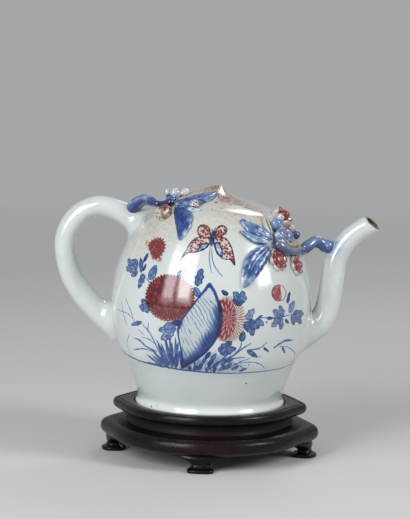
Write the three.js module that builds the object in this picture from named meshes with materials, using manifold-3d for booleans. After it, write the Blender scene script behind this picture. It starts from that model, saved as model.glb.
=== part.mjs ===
// Peach-shaped wine or tea pot of glazed porcelain, filled through its base, on a fitted wooden stand.
// Millimetres, +Z up. The handle is at -X, the spout at +X, and -Y is the decorated front.
// The pot is drawn about its own axis, with height 0 at the bottom of its foot ring.
import * as THREE from 'three';
import { mergeVertices } from 'three/addons/utils/BufferGeometryUtils.js';
import Module from 'manifold-3d';

const wasm = await Module();
wasm.setup();

// Clearances
const luteGap = 0.3;            // between two pieces of the pot that the potter stuck together
const seatGap = 0.3;            // between the foot ring and the floor of the stand's recess
const recessClearance = 0.7;    // round the foot ring, inside the recess

// Body of the pot: radius and height of each station of its outline
const footRadius = 46.6;
const footBandHeight = 2.7;
const neckRadius = 45.7;
const neckHeight = 7.4;
const skirtRadius = 51.6;
const skirtHeight = 24.7;
const hipRadius = 58.2;
const hipHeight = 39.2;
const bellyRadius = 62.7;
const bellyHeight = 68;
const chestRadius = 56.9;
const chestHeight = 93.7;
const shoulderRadius = 43.4;
const shoulderHeight = 117.7;
const crownRadius = 27.5;
const crownHeight = 128;
const domeHeight = 134.4;
const wall = 3.6;
const footRingWidth = 5;
const footRecess = 4.6;         // how far the base lies above the foot ring's bottom
const baseThickness = 3.6;

// Peach tip: it rises from the dome and leans towards the spout
const tipRise = 4.4;
const tipLean = 4.9;
const tipLongSlope = 14;        // fall-off length behind the tip
const tipShortSlope = 3.2;      // fall-off length before the tip
const tipSpread = 22;
const crownTilt = 1.2;

// Filling tube, stuck over the hole in the base
const fillingHoleRadius = 11;
const tubeTopRadius = 6.2;
const tubeTopHeight = 96;
const tubeWall = 2.4;
const tubeFlange = 5;
const tubeFlangeHeight = 2.6;

// Handle, a loop in the plane of the spout: places as distance beyond the belly, and height
const handleThickness = 12.9;
const handleDepth = 14.4;
const handleHeelSwell = 0.9;
const handleFlare = 2.8;
const handlePath = [
  [-19.3, 111], [-4.7, 119.6], [8.3, 122.7], [21.8, 117], [30, 102], [26.4, 79.7], [12.5, 60.3], [-5.7, 45],
];

// Spout: places as distance beyond the belly, and height
const spoutRootRadius = 11.6;
const spoutStemRadius = 7.3;
const spoutMouthRadius = 6.1;
const spoutWall = 2.1;
const spoutMouthTilt = 48.5;    // degrees of the mouth's face above level
const spoutPath = [
  [-10.7, 46], [0, 50.3], [4.5, 53], [8, 59.5], [10.6, 70], [12.7, 86.5], [14, 94.4], [18.3, 102.5],
  [25.6, 110.3], [36.1, 117],
];

// Sprays in relief
const twigRootRadius = 3.3;
const twigRadius = 1.7;
const twigTaper = [0.1, 0.8];   // shares of its length between which a twig thins from root to end
const branchRootRadius = 3.7;
const branchRadius = 2.4;
const branchTaper = [0.3, 0.62];
const leafThickness = 1.9;
const leafEdge = 0.7;
const leafRise = 1.4;           // how far a leaf's base stands off the body
const broadLeafWidth = 12.5;
const longLeafWidth = 11.5;
const pairLeafWidth = 9.6;
const narrowLeafWidth = 4.6;
const thinLeafWidth = 3.4;
const openBudRadius = 4.7;
const largeBudRadius = 3.8;
const budRadius = 3.1;
const smallBudRadius = 2.2;
const knobRadius = 1.8;
const largeFlowerRadius = 7.1;
const flowerRadius = 6.3;
const petalHeight = 1.9;
const twigStart = 0.085;        // share of the handle's line at which the twig grows out
const branchStart = 0.66;       // share of the spout's line at which the branch grows out
// Free arches, as share of the span, rise above it, and swing towards the pot's middle plane
const twigArch = [[0.17, 4.3, -0.6], [0.3, 6, 0], [0.5, 6.4, 0], [0.7, 3.9, -1], [0.88, 1.4, -2.4]];
const branchArch = [[0.31, 1.1, 2.5], [0.44, 3, 2], [0.63, 4.2, 2], [0.8, 2.9, 0.4], [0.93, 1.2, -0.6]];

// Stand: three stacked boards with a pointed ear to the left and right, on four feet
const standHeight = 33.5;
const trayRadius = 55.7;
const trayEar = 5.3;
const trayThickness = 6.5;
const recessDepth = 2.5;
const waistRadius = 50.2;
const waistEar = 2.4;
const waistHeight = 6;
const apronRadius = 63;
const apronEar = 5.8;
const apronThickness = 11;
const footHeight = standHeight - trayThickness - waistHeight - apronThickness;
const footPadThickness = 1.8;
const footPadHalfWidth = 8.8;
const footPadDepth = 13;
const footNeckHalfWidth = 6.2;
const footNeckDepth = 7.6;
const footNeckSetBack = 3.2;
const footTopHalfWidth = 11.5;
const footSetBack = 0.9;
const earHalfAngle = 30;
const earSharpness = 2.5;
const earTipRounding = 2.5;

const radians = THREE.MathUtils.degToRad;
const vector = (x, y, z) => new THREE.Vector3(x, y, z);

// Solids

function toSolid(geometry) {
  const bare = new THREE.BufferGeometry();
  bare.setAttribute('position', geometry.getAttribute('position'));
  bare.setIndex(geometry.index);
  const merged = mergeVertices(bare, 1e-4);
  const corners = merged.getAttribute('position').array;
  const faces = [];
  let volume = 0;
  for (let i = 0; i < merged.index.count; i += 3) {
    const [a, b, c] = [0, 1, 2].map((k) => merged.index.getX(i + k));
    if (a === b || b === c || c === a) continue;
    faces.push(a, b, c);
    const [p, q, r] = [a, b, c].map((k) => vector().fromArray(corners, 3 * k));
    volume += p.dot(q.cross(r));
  }
  if (volume < 0) {
    for (let i = 0; i < faces.length; i += 3) [faces[i], faces[i + 1]] = [faces[i + 1], faces[i]];
  }
  return new wasm.Manifold(new wasm.Mesh({
    numProp: 3,
    vertProperties: new Float32Array(corners),
    triVerts: new Uint32Array(faces),
  }));
}

function toGeometry(solid) {
  const mesh = solid.getMesh();
  const geometry = new THREE.BufferGeometry();
  geometry.setAttribute('position', new THREE.BufferAttribute(mesh.vertProperties, 3));
  geometry.setIndex(new THREE.BufferAttribute(mesh.triVerts, 1));
  geometry.computeVertexNormals();
  return geometry;
}

// A closed solid through rings of points, each ring with the same number of points
function loft(rings) {
  const sides = rings[0].length;
  const points = rings.flat();
  const faces = [];
  rings.slice(1).forEach((_, row) => {
    for (let i = 0; i < sides; i += 1) {
      const j = (i + 1) % sides;
      const [a, b] = [row * sides + i, row * sides + j];
      faces.push(a, b, b + sides, a, b + sides, a + sides);
    }
  });
  for (const [start, flip] of [[0, true], [points.length - sides, false]]) {
    const ring = points.slice(start, start + sides);
    const middle = ring.reduce((sum, p) => sum.add(p), vector(0, 0, 0)).divideScalar(sides);
    points.push(middle);
    for (let i = 0; i < sides; i += 1) {
      const [a, b] = [start + i, start + ((i + 1) % sides)];
      faces.push(points.length - 1, flip ? b : a, flip ? a : b);
    }
  }
  const geometry = new THREE.BufferGeometry().setFromPoints(points);
  geometry.setIndex(faces);
  return toSolid(geometry);
}

// A tube along a curve. sizeAt gives the half sizes in the curve's own plane and across it.
function sweep(curve, steps, sides, sizeAt, across = vector(0, 1, 0)) {
  const rings = [];
  for (let i = 0; i <= steps; i += 1) {
    const t = i / steps;
    const tangent = curve.getTangentAt(t);
    const side = across.clone().addScaledVector(tangent, -across.dot(tangent)).normalize();
    const up = tangent.clone().cross(side);
    const [inPlane, sideways] = sizeAt(t);
    const centre = curve.getPointAt(t);
    rings.push(Array.from({ length: sides }, (_, k) => {
      const angle = (2 * Math.PI * k) / sides;
      return centre.clone()
        .addScaledVector(up, inPlane * Math.cos(angle))
        .addScaledVector(side, sideways * Math.sin(angle));
    }));
  }
  return loft(rings);
}

function turned(profile, segments) {
  const geometry = new THREE.LatheGeometry(profile, segments);
  geometry.rotateX(Math.PI / 2);
  return geometry;
}

const smooth = (t) => t * t * (3 - 2 * t);
const clamp = THREE.MathUtils.clamp;

// Outline of the body, as stations from the foot to the top of the dome

const outline = new THREE.SplineCurve([
  [footRadius, footBandHeight], [neckRadius, neckHeight], [skirtRadius, skirtHeight],
  [hipRadius, hipHeight], [bellyRadius, bellyHeight], [chestRadius, chestHeight],
  [shoulderRadius, shoulderHeight], [crownRadius, crownHeight], [0, domeHeight],
].map(([radius, height]) => new THREE.Vector2(radius, height)));

const outlineSteps = 160;
const stations = outline.getSpacedPoints(outlineSteps).map((point, i) => {
  const tangent = outline.getTangentAt(i / outlineSteps);
  return { point, normal: new THREE.Vector2(tangent.y, -tangent.x) };
});
const topStation = stations[outlineSteps];
topStation.normal.set(0, 1);
const bellyStation = stations.reduce((best, s, i) => (
  Math.abs(s.point.y - bellyHeight) < Math.abs(stations[best].point.y - bellyHeight) ? i : best), 0);

// Rows of the outline between two stations, moved outwards by offset
function rows(from, to, count, offset) {
  return Array.from({ length: count + 1 }, (_, i) => {
    const { point, normal } = stations[Math.round(from + ((to - from) * i) / count)];
    const row = point.clone().addScaledVector(normal, offset);
    return new THREE.Vector2(Math.max(row.x, 0), row.y);
  });
}

// Rise of the crown above the turned shape, at a place seen from above
function crownRise(x, y) {
  const fromTip = Math.hypot(x - tipLean, y);
  const ahead = fromTip > 0 ? (x - tipLean) / fromTip : 0;
  const slope = (tipLongSlope + tipShortSlope) / 2 - (ahead * (tipLongSlope - tipShortSlope)) / 2;
  const fade = smooth(clamp(2 - Math.hypot(x, y) / tipSpread, 0, 1));
  const tip = tipRise * Math.exp(-fromTip / slope);
  return fade * (tip - (crownTilt * x) / tipSpread);
}

// Height of the turned dome over a radius
function domeAt(radius) {
  const i = Math.max(stations.findIndex(({ point }, k) => k > bellyStation && point.x <= radius), 1);
  const [outer, inner] = [stations[i - 1].point, stations[i].point];
  const share = (outer.x - radius) / (outer.x - inner.x);
  return outer.y + share * (inner.y - outer.y);
}

// The turned body gets its tip: the pole moves under the tip, and the crown rises
function peach(geometry) {
  const position = geometry.getAttribute('position');
  for (let i = 0; i < position.count; i += 1) {
    const [x, y, z] = [position.getX(i), position.getY(i), position.getZ(i)];
    const radius = Math.hypot(x, y);
    if (z < chestHeight || radius > 2 * tipSpread) continue;
    const near = clamp(1 - radius / tipSpread, 0, 1);
    const moved = x + tipLean * near * near;
    const fall = near > 0 ? domeAt(Math.hypot(moved, y)) - domeAt(radius) : 0;
    position.setXYZ(i, moved, y, z + fall + crownRise(moved, y));
  }
  return toSolid(geometry);
}

// A place on the body, lifted off it along its normal
function lifted(outward, point, normal, rise, lift) {
  const place = outward.clone().multiplyScalar(point.x + normal.x * lift);
  place.z = point.y + normal.y * lift + rise;
  return { place, normal: outward.clone().multiplyScalar(normal.x).setZ(normal.y).normalize() };
}

// The same for the place nearest to a point
function seat(target, lift) {
  const radius = Math.hypot(target.x, target.y);
  const rise = crownRise(target.x, target.y);
  const flat = new THREE.Vector2(radius, target.z - rise);
  const station = stations.reduce((best, s) => (
    s.point.distanceTo(flat) < best.point.distanceTo(flat) ? s : best));
  const tangent = new THREE.Vector2(-station.normal.y, station.normal.x);
  const point = station.point.clone().addScaledVector(tangent, flat.sub(station.point).dot(tangent));
  const outward = vector(target.x / radius, target.y / radius, 0);
  return lifted(outward, point, station.normal, rise, lift);
}

// The same for a spot written as degrees round from the spout, with the front below zero, and as the
// share of the outline's length down from the top of the dome
function spot([azimuth, share], lift = 0) {
  const point = outline.getPointAt(1 - share);
  const tangent = outline.getTangentAt(1 - share);
  const outward = vector(Math.cos(radians(azimuth)), Math.sin(radians(azimuth)), 0);
  const rise = crownRise(point.x * outward.x, point.x * outward.y);
  return lifted(outward, point, new THREE.Vector2(tangent.y, -tangent.x), rise, lift);
}

// Body of the pot

const bodySegments = 48;
const lowRows = 9;
const flankRows = 7;
const crownRows = 8;
const innerCrownRows = 4;
const crownStation = stations.findIndex(({ point }, i) => i > bellyStation && point.y > crownHeight);

function upperRows(offset, crownCount) {
  const flank = rows(bellyStation, crownStation, flankRows, offset);
  const crown = rows(crownStation, outlineSteps, crownCount, offset);
  return [...flank, ...crown.slice(1)];
}

// The whole body as one filled solid, grown by a gap, to cut what is stuck on it
function bodyForm(gap) {
  const profile = [
    new THREE.Vector2(0, 0), new THREE.Vector2(footRadius + gap, 0),
    ...rows(0, bellyStation, lowRows, gap), ...upperRows(gap, crownRows).slice(1),
  ];
  return peach(turned(profile, bodySegments));
}

function bodyLower() {
  const seam = bellyHeight - luteGap / 2;
  const ringInner = footRadius - footRingWidth;
  const baseTop = footRecess + baseThickness;
  const outer = rows(0, bellyStation, lowRows, 0);
  const inner = rows(0, bellyStation, lowRows, -wall).filter((row) => row.y > baseTop + wall / 2);
  outer.at(-1).y = seam;
  inner.at(-1).y = seam;
  const profile = [
    new THREE.Vector2(ringInner, 0), new THREE.Vector2(footRadius, 0), ...outer, ...inner.reverse(),
    new THREE.Vector2(inner.at(-1).x - wall / 2, baseTop), new THREE.Vector2(fillingHoleRadius, baseTop),
    new THREE.Vector2(fillingHoleRadius, footRecess), new THREE.Vector2(ringInner, footRecess),
    new THREE.Vector2(ringInner, 0),
  ];
  return toSolid(turned(profile, bodySegments)).subtract(spoutForm(spoutBoreAt));
}

function bodyUpper() {
  const seam = bellyHeight + luteGap / 2;
  const outer = upperRows(0, crownRows);
  const inner = upperRows(-wall, innerCrownRows);
  outer[0].y = seam;
  inner[0].y = seam;
  return peach(turned([...outer, ...inner.reverse(), outer[0].clone()], bodySegments));
}

function fillingTube() {
  const bottom = footRecess + baseThickness + luteGap;
  const flangeRadius = fillingHoleRadius + tubeWall + tubeFlange;
  const profile = [
    [fillingHoleRadius, bottom], [flangeRadius, bottom], [flangeRadius, bottom + tubeFlangeHeight / 2],
    [fillingHoleRadius + tubeWall, bottom + tubeFlangeHeight],
    [tubeTopRadius + tubeWall, tubeTopHeight], [tubeTopRadius, tubeTopHeight], [fillingHoleRadius, bottom],
  ].map(([radius, height]) => new THREE.Vector2(radius, height));
  return toSolid(turned(profile, bodySegments));
}

// Handle and spout

const handleLine = new THREE.CatmullRomCurve3(
  handlePath.map(([beyond, height]) => vector(-bellyRadius - beyond, 0, height)));

function handleForm(gap) {
  return sweep(handleLine, 24, 16, (t) => {
    const flare = handleFlare * (Math.exp(-((t / 0.1) ** 2)) + Math.exp(-(((1 - t) / 0.09) ** 2)));
    const heel = handleHeelSwell * smooth(clamp((t - 0.55) / 0.25, 0, 1));
    return [handleThickness / 2 + heel + flare + gap, handleDepth / 2 + flare + gap];
  });
}

const handle = () => handleForm(0).subtract(bodyForm(luteGap));

const spoutOuterPath = spoutPath.map(([beyond, height]) => vector(bellyRadius + beyond, 0, height));
const spoutMouth = spoutOuterPath.at(-1);
const spoutOverrun = spoutMouth.clone().sub(spoutOuterPath.at(-2)).normalize()
  .multiplyScalar(1.6 * spoutMouthRadius).add(spoutMouth);
const spoutLine = new THREE.CatmullRomCurve3([...spoutOuterPath, spoutOverrun]);

function spoutRadiusAt(t) {
  const taper = smooth(clamp((t - 0.5) / 0.3, 0, 1));
  const root = (spoutRootRadius - spoutStemRadius) * Math.exp(-((t / 0.13) ** 2));
  return THREE.MathUtils.lerp(spoutStemRadius, spoutMouthRadius, taper) + root;
}

const spoutBoreAt = (t) => Math.min(spoutRadiusAt(t), spoutStemRadius) - spoutWall;

const spoutForm = (radiusAt) => sweep(spoutLine, 26, 16, (t) => [radiusAt(t), radiusAt(t)]);

// A slab whose lower face is the face of the mouth
function mouthCut() {
  const size = 8 * spoutMouthRadius;
  const slab = new THREE.BoxGeometry(size, size, size).translate(0, 0, size / 2);
  slab.rotateY(radians(90 - spoutMouthTilt));
  slab.translate(...spoutMouth.toArray());
  return toSolid(slab);
}

const spout = () => spoutForm(spoutRadiusAt).subtract(spoutForm(spoutBoreAt))
  .subtract(bodyForm(luteGap)).subtract(mouthCut());

// Sprays

// A twig that lies on the body, and may reach it from a start in the air over a free arch
function twigForm({ start, arch = [], spots, root, radius, taper }, gap) {
  const resting = spots.map((at) => spot(at, radius + luteGap).place);
  const free = arch.map(([share, rise, swing]) => (
    start.clone().lerp(resting[0], share).add(vector(0, swing, rise))));
  const points = start ? [start, ...free, ...resting] : resting;
  const line = new THREE.CatmullRomCurve3(points);
  const thinned = (t) => smooth(clamp((t - taper[0]) / (taper[1] - taper[0]), 0, 1));
  const size = (t) => THREE.MathUtils.lerp(root, radius, thinned(t)) + gap;
  const across = vector(0.3, 0.5, 0.8).normalize();
  return sweep(line, 4 * (points.length - 1), 8, (t) => [size(t), size(t)], across);
}

// Across a leaf: share of its half width, and of its thickness
const leafSection = [[-1, 0], [-0.55, 1], [0, 0.62], [0.55, 1], [1, 0]];

function leafForm({ along, width }, gap) {
  const line = new THREE.CatmullRomCurve3(along.map((at) => spot(at).place));
  const steps = 9;
  const rings = Array.from({ length: steps + 1 }, (_, i) => {
    const t = i / steps;
    const { place, normal } = seat(line.getPointAt(t), 0);
    const side = normal.clone().cross(line.getTangentAt(t)).normalize();
    const half = (width / 2) * (0.16 + 0.84 * Math.sin(Math.PI * t ** 0.85) ** 0.8) + gap;
    const lift = luteGap + leafRise * (1 - t) ** 2 - gap;
    const body = (leafThickness - leafEdge) * Math.sin(Math.PI * (0.15 + 0.7 * t));
    const across = (share) => place.clone().addScaledVector(side, half * share);
    const lower = leafSection.map(([share]) => seat(across(share), Math.max(lift, 0)).place);
    const upper = leafSection.map(([share, thick]) => (
      seat(across(share), lift + leafEdge + body * thick + 2 * gap).place));
    return [...lower, ...upper.reverse()];
  });
  return loft(rings);
}

const budSink = 0.75;           // how far a bud's middle stands off the body, as share of its half height

function budForm({ at, radius, tall = 1 }, gap) {
  const { place, normal } = spot(at, radius * tall * budSink + luteGap);
  const ball = new THREE.SphereGeometry(radius + gap, 12, 8);
  ball.rotateX(Math.PI / 2).scale(1, 1, (radius * tall + gap) / (radius + gap));
  ball.applyQuaternion(new THREE.Quaternion().setFromUnitVectors(vector(0, 0, 1), normal));
  ball.translate(...place.toArray());
  return toSolid(ball);
}

// A small flower: petals round a raised eye, in rows of shares of its radius and of its height
const petals = 6;
const petalRows = [[0.5, 0], [1, 0], [1.04, 0.45], [0.8, 1], [0.46, 0.75], [0.36, 1.15], [0.16, 1.3]];

function flowerForm({ at, radius, tall = 1 }, gap) {
  const { place, normal } = spot(at);
  const side = vector(0, 0, 1).cross(normal).normalize();
  const up = normal.clone().cross(side);
  return loft(petalRows.map(([share, height]) => Array.from({ length: 4 * petals }, (_, k) => {
    const angle = (2 * Math.PI * k) / (4 * petals);
    const reach = (radius * (1 - 0.07 * (1 - Math.cos(petals * angle)) * share) + gap) * share;
    const target = place.clone().addScaledVector(side, reach * Math.cos(angle))
      .addScaledVector(up, reach * Math.sin(angle));
    return seat(target, luteGap + height * petalHeight * tall + (height > 0 ? gap : 0)).place;
  })));
}

const leftTwigForm = { root: twigRootRadius, radius: twigRadius, taper: twigTaper };
const rightBranchForm = { root: branchRootRadius, radius: branchRadius, taper: branchTaper };
const leftTwig = {
  ...leftTwigForm, start: handleLine.getPointAt(twigStart), arch: twigArch,
  spots: [[-146.5, 0.217], [-139.7, 0.205], [-132.4, 0.195]],
};
const rightBranch = {
  ...rightBranchForm, start: spoutLine.getPointAt(branchStart), arch: branchArch,
  spots: [[-8, 0.41], [-17.5, 0.408], [-25.9, 0.403], [-32.9, 0.393], [-37.4, 0.378], [-39.7, 0.355]],
};
// On the back the sprays lie lower, so that they don't show over the shoulder from the front
const leftTwigBack = { ...leftTwigForm, spots: [[166, 0.325], [152, 0.3], [138, 0.275]] };
const rightBranchBack = { ...rightBranchForm, spots: [[29, 0.475], [35, 0.435], [42, 0.405], [50, 0.385]] };

const leftUpperLeaf = [[-128.5, 0.205], [-115.6, 0.17], [-102.3, 0.123], [-82.5, 0.065]];
const leftHangingLeaf = [[-123.2, 0.215], [-111.5, 0.255], [-108.4, 0.295], [-108.3, 0.347]];
const leftThinLeaf = [[-120.5, 0.211], [-107.8, 0.223], [-97.5, 0.223]];
const rightUpperLeaf = [[-41.7, 0.347], [-52, 0.31], [-62.2, 0.262]];
const rightLowerLeaf = [[-46.3, 0.36], [-55.6, 0.34], [-65.3, 0.307]];
const rightHangingLeaf = [[-46.9, 0.375], [-58.4, 0.425], [-67.5, 0.512]];
const rightCreamLeaf = [[-40.7, 0.328], [-39.7, 0.29], [-36, 0.247]];
const rightShortLeaf = [[-30, 0.368], [-18, 0.37], [-5, 0.385]];
const leftBackDrop = 0.09;
const rightBackDrop = 0.025;
const onBack = (spots, drop) => spots.map(([azimuth, share]) => [-azimuth, share + drop]);

const cobalt = { color: 0x4a63a0, roughness: 0.2 };
const darkCobalt = { color: 0x24386e, roughness: 0.2 };
const copperRed = { color: 0xa8534f, roughness: 0.22 };
const glaze = { color: 0xd3dcd6, roughness: 0.12 };
const biscuit = { color: 0xb9a58a, roughness: 0.85 };
const hardwood = { color: 0x2d2220, roughness: 0.38 };

// In the order in which they were stuck on: each piece is cut clear of those before it
const sprayPieces = [
  ['twig_left', twigForm, leftTwig, darkCobalt],
  ['twig_left_back', twigForm, leftTwigBack, darkCobalt],
  ['branch_right', twigForm, rightBranch, cobalt],
  ['branch_right_back', twigForm, rightBranchBack, cobalt],
  ['leaf_left_upper', leafForm, { along: leftUpperLeaf, width: longLeafWidth }, cobalt],
  ['leaf_left_hanging', leafForm, { along: leftHangingLeaf, width: longLeafWidth }, cobalt],
  ['leaf_left_thin', leafForm, { along: leftThinLeaf, width: thinLeafWidth }, cobalt],
  ['leaf_right_upper', leafForm, { along: rightUpperLeaf, width: pairLeafWidth }, cobalt],
  ['leaf_right_lower', leafForm, { along: rightLowerLeaf, width: narrowLeafWidth }, cobalt],
  ['leaf_right_hanging', leafForm, { along: rightHangingLeaf, width: broadLeafWidth }, cobalt],
  ['leaf_right_cream', leafForm, { along: rightCreamLeaf, width: narrowLeafWidth }, glaze],
  ['leaf_right_short', leafForm, { along: rightShortLeaf, width: narrowLeafWidth }, glaze],
  ['leaf_left_upper_back', leafForm,
    { along: onBack(leftUpperLeaf, leftBackDrop), width: longLeafWidth }, cobalt],
  ['leaf_left_hanging_back', leafForm,
    { along: onBack(leftHangingLeaf, leftBackDrop), width: longLeafWidth }, cobalt],
  ['leaf_right_upper_back', leafForm,
    { along: onBack(rightUpperLeaf, rightBackDrop), width: pairLeafWidth }, cobalt],
  ['leaf_right_hanging_back', leafForm,
    { along: onBack(rightHangingLeaf, rightBackDrop), width: broadLeafWidth }, cobalt],
  ['bud_left_red', budForm, { at: [-133, 0.25], radius: openBudRadius, tall: 0.75 }, copperRed],
  ['bud_left_white', budForm, { at: [-151, 0.15], radius: budRadius }, glaze],
  ['bud_left_pink', budForm, { at: [-151, 0.11], radius: smallBudRadius }, copperRed],
  ['bud_left_small', budForm, { at: [-106.4, 0.193], radius: smallBudRadius, tall: 0.8 }, copperRed],
  ['knob_left', budForm, { at: [-157, 0.175], radius: knobRadius, tall: 2 }, darkCobalt],
  ['bud_right_blue', budForm, { at: [-32.3, 0.295], radius: largeBudRadius }, cobalt],
  ['bud_right_white', budForm, { at: [-35, 0.335], radius: smallBudRadius }, glaze],
  ['flower_right_top', flowerForm, { at: [-11.9, 0.272], radius: flowerRadius, tall: 1.7 }, copperRed],
  ['knob_right', budForm, { at: [-11, 0.349], radius: budRadius }, cobalt],
  ['knob_right_upper', budForm, { at: [-10.5, 0.323], radius: smallBudRadius }, copperRed],
  ['flower_right_low', flowerForm, { at: [-40.2, 0.422], radius: largeFlowerRadius }, copperRed],
  ['flower_right_side', flowerForm, { at: [-23.5, 0.453], radius: flowerRadius }, copperRed],
  ['bud_left_back', budForm, { at: [134, 0.33], radius: largeBudRadius }, copperRed],
  ['bud_right_back', budForm, { at: [38, 0.365], radius: largeBudRadius }, cobalt],
  ['flower_right_back', flowerForm, { at: [43, 0.47], radius: flowerRadius }, copperRed],
];

// Stand

// Plan of a board: round, with a pointed ear to the left and to the right
function boardRadius(angle, radius, ear) {
  const fromEar = Math.abs(Math.asin(Math.sin(angle)));
  const rounded = (value) => Math.hypot(value, earTipRounding) - earTipRounding;
  const share = clamp(1 - rounded(THREE.MathUtils.radToDeg(fromEar)) / rounded(earHalfAngle), 0, 1);
  return radius + ear * share ** earSharpness;
}

const boardSides = 72;

function board(radius, ear, edge) {
  return loft(edge.map(([offset, height]) => Array.from({ length: boardSides }, (_, i) => {
    const angle = (2 * Math.PI * i) / boardSides;
    const reach = boardRadius(angle, radius, ear) + offset;
    return vector(reach * Math.cos(angle), reach * Math.sin(angle), height);
  })));
}

// Edge of a board, as shares of its thickness
function moulding(low, thickness, shares) {
  return shares.map(([offset, share]) => [offset, low + share * thickness]);
}

const apronLow = footHeight;
const waistLow = apronLow + apronThickness;
const trayLow = waistLow + waistHeight;

function standTray() {
  const edge = moulding(trayLow, trayThickness, [
    [-4.4, 0], [-2, 0.06], [-0.5, 0.25], [0, 0.5], [-0.3, 0.75], [-1, 0.93], [-1.9, 1],
  ]);
  const recess = new THREE.CylinderGeometry(
    footRadius + recessClearance, footRadius + recessClearance, 2 * recessDepth, boardSides);
  recess.rotateX(Math.PI / 2).translate(0, 0, standHeight);
  return board(trayRadius, trayEar, edge).subtract(toSolid(recess));
}

const standWaist = () => board(waistRadius, waistEar, moulding(waistLow, waistHeight, [
  [0.5, 0], [-0.3, 0.25], [-0.5, 0.6], [0, 1],
]));

const standApron = () => board(apronRadius, apronEar, moulding(apronLow, apronThickness, [
  [-5, 0], [-2.6, 0.08], [-0.8, 0.24], [0, 0.45], [-0.4, 0.66], [-1.9, 0.84], [-4.4, 0.96], [-7.5, 1],
]));

// A foot: a broad pad, a drawn-in neck and a top that spreads under the apron
function standFoot(outerReach) {
  const slices = [
    [0, 0, footPadHalfWidth, footPadDepth],
    [0, footPadThickness, footPadHalfWidth, footPadDepth],
    [footNeckSetBack * 0.6, footPadThickness + 0.9, footPadHalfWidth - 1.6, footPadDepth - 3.4],
    [footNeckSetBack, footHeight * 0.5, footNeckHalfWidth, footNeckDepth],
    [footNeckSetBack * 0.8, footHeight * 0.76, (footNeckHalfWidth + footTopHalfWidth) / 2, footPadDepth - 3],
    [footNeckSetBack, footHeight, footTopHalfWidth, footPadDepth],
  ];
  return loft(slices.map(([setBack, height, halfWidth, depth]) => {
    const middle = outerReach - setBack - depth / 2;
    return Array.from({ length: 20 }, (_, i) => {
      const angle = (2 * Math.PI * i) / 20;
      const square = (value) => Math.sign(value) * Math.abs(value) ** 0.55;
      const outwards = middle + (depth / 2) * square(Math.cos(angle));
      return vector(outwards, halfWidth * square(Math.sin(angle)), height);
    });
  }));
}

const footPlaces = [['right', 0, apronEar], ['back', 90, 0], ['left', 180, apronEar], ['front', 270, 0]];

// Assembly

function piece(name, solid, { color, roughness }) {
  const material = new THREE.MeshStandardMaterial({ color, roughness, metalness: 0 });
  const mesh = new THREE.Mesh(toGeometry(solid), material);
  mesh.name = name;
  return mesh;
}

function spray() {
  const stuck = [bodyForm(luteGap * 0.9), handleForm(luteGap), spoutForm((t) => spoutRadiusAt(t) + luteGap)];
  return sprayPieces.map(([name, form, shape, material]) => {
    const solid = stuck.reduce((rest, other) => rest.subtract(other), form(shape, 0));
    stuck.push(form(shape, luteGap));
    return piece(name, solid, material);
  });
}

const teapot = new THREE.Group();
teapot.position.z = standHeight - recessDepth + seatGap;
teapot.add(
  piece('body_lower', bodyLower(), glaze),
  piece('body_upper', bodyUpper(), glaze),
  piece('filling_tube', fillingTube(), biscuit),
  piece('handle', handle(), glaze),
  piece('spout', spout(), glaze),
  ...spray(),
);

const stand = new THREE.Group();
stand.add(
  piece('stand_tray', standTray(), hardwood),
  piece('stand_waist', standWaist(), hardwood),
  piece('stand_apron', standApron(), hardwood),
);
for (const [name, turn, ear] of footPlaces) {
  const foot = piece(`stand_foot_${name}`, standFoot(apronRadius + ear - footSetBack), hardwood);
  foot.rotation.z = radians(turn);
  stand.add(foot);
}

const object = new THREE.Group();
object.add(teapot, stand);

// The origin lies under the middle of the object's box
object.updateMatrixWorld(true);
const box = new THREE.Box3().setFromObject(object);
object.position.x = -(box.min.x + box.max.x) / 2;
object.updateMatrixWorld(true);

export default object;
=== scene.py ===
"""Looks of the peach-shaped teapot and its wooden stand, built around their solids.

Lengths are millimetres about the pot's own axis, with height 0 at the bottom of its foot ring, and
on_frame() turns them into the metres of the model. The spout is at +X and the painted front at -Y.
"""
import math

import bpy
import numpy as np
from mathutils import Matrix, Vector


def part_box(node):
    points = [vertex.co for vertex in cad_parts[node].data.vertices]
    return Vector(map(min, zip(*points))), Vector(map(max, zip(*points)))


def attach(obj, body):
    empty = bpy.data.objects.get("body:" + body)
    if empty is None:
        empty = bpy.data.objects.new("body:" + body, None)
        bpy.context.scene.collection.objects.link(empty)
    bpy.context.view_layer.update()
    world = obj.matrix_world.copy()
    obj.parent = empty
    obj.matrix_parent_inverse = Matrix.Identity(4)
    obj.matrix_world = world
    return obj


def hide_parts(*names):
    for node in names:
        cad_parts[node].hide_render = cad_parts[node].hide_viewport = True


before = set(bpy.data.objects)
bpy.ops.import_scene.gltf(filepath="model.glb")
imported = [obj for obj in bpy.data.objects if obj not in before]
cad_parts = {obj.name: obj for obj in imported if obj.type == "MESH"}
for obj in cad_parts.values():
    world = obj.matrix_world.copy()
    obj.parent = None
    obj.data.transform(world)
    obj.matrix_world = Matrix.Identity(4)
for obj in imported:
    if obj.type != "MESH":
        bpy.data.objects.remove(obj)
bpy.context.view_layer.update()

# Clearances and sizes shared with the solids
LUTE_GAP = 0.3
WALL = 3.6
OUTLINE = [(46.6, 2.7), (45.7, 7.4), (51.6, 24.7), (58.2, 39.2), (62.7, 68), (56.9, 93.7), (43.4, 117.7),
           (27.5, 128), (0, 134.4)]
BELLY_RADIUS, BELLY_HEIGHT = OUTLINE[4]
CHEST_HEIGHT, SHOULDER_HEIGHT = OUTLINE[5][1], OUTLINE[6][1]
FOOT_RADIUS = OUTLINE[0][0]
FOOT_RING_WIDTH = 5
FOOT_RECESS = 4.6
BASE_TOP = FOOT_RECESS + 3.6
FILLING_HOLE_RADIUS = 11
TUBE_TOP_RADIUS, TUBE_TOP_HEIGHT, TUBE_WALL = 6.2, 96, 2.4
TUBE_FLANGE, TUBE_FLANGE_HEIGHT = 5, 2.6
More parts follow.
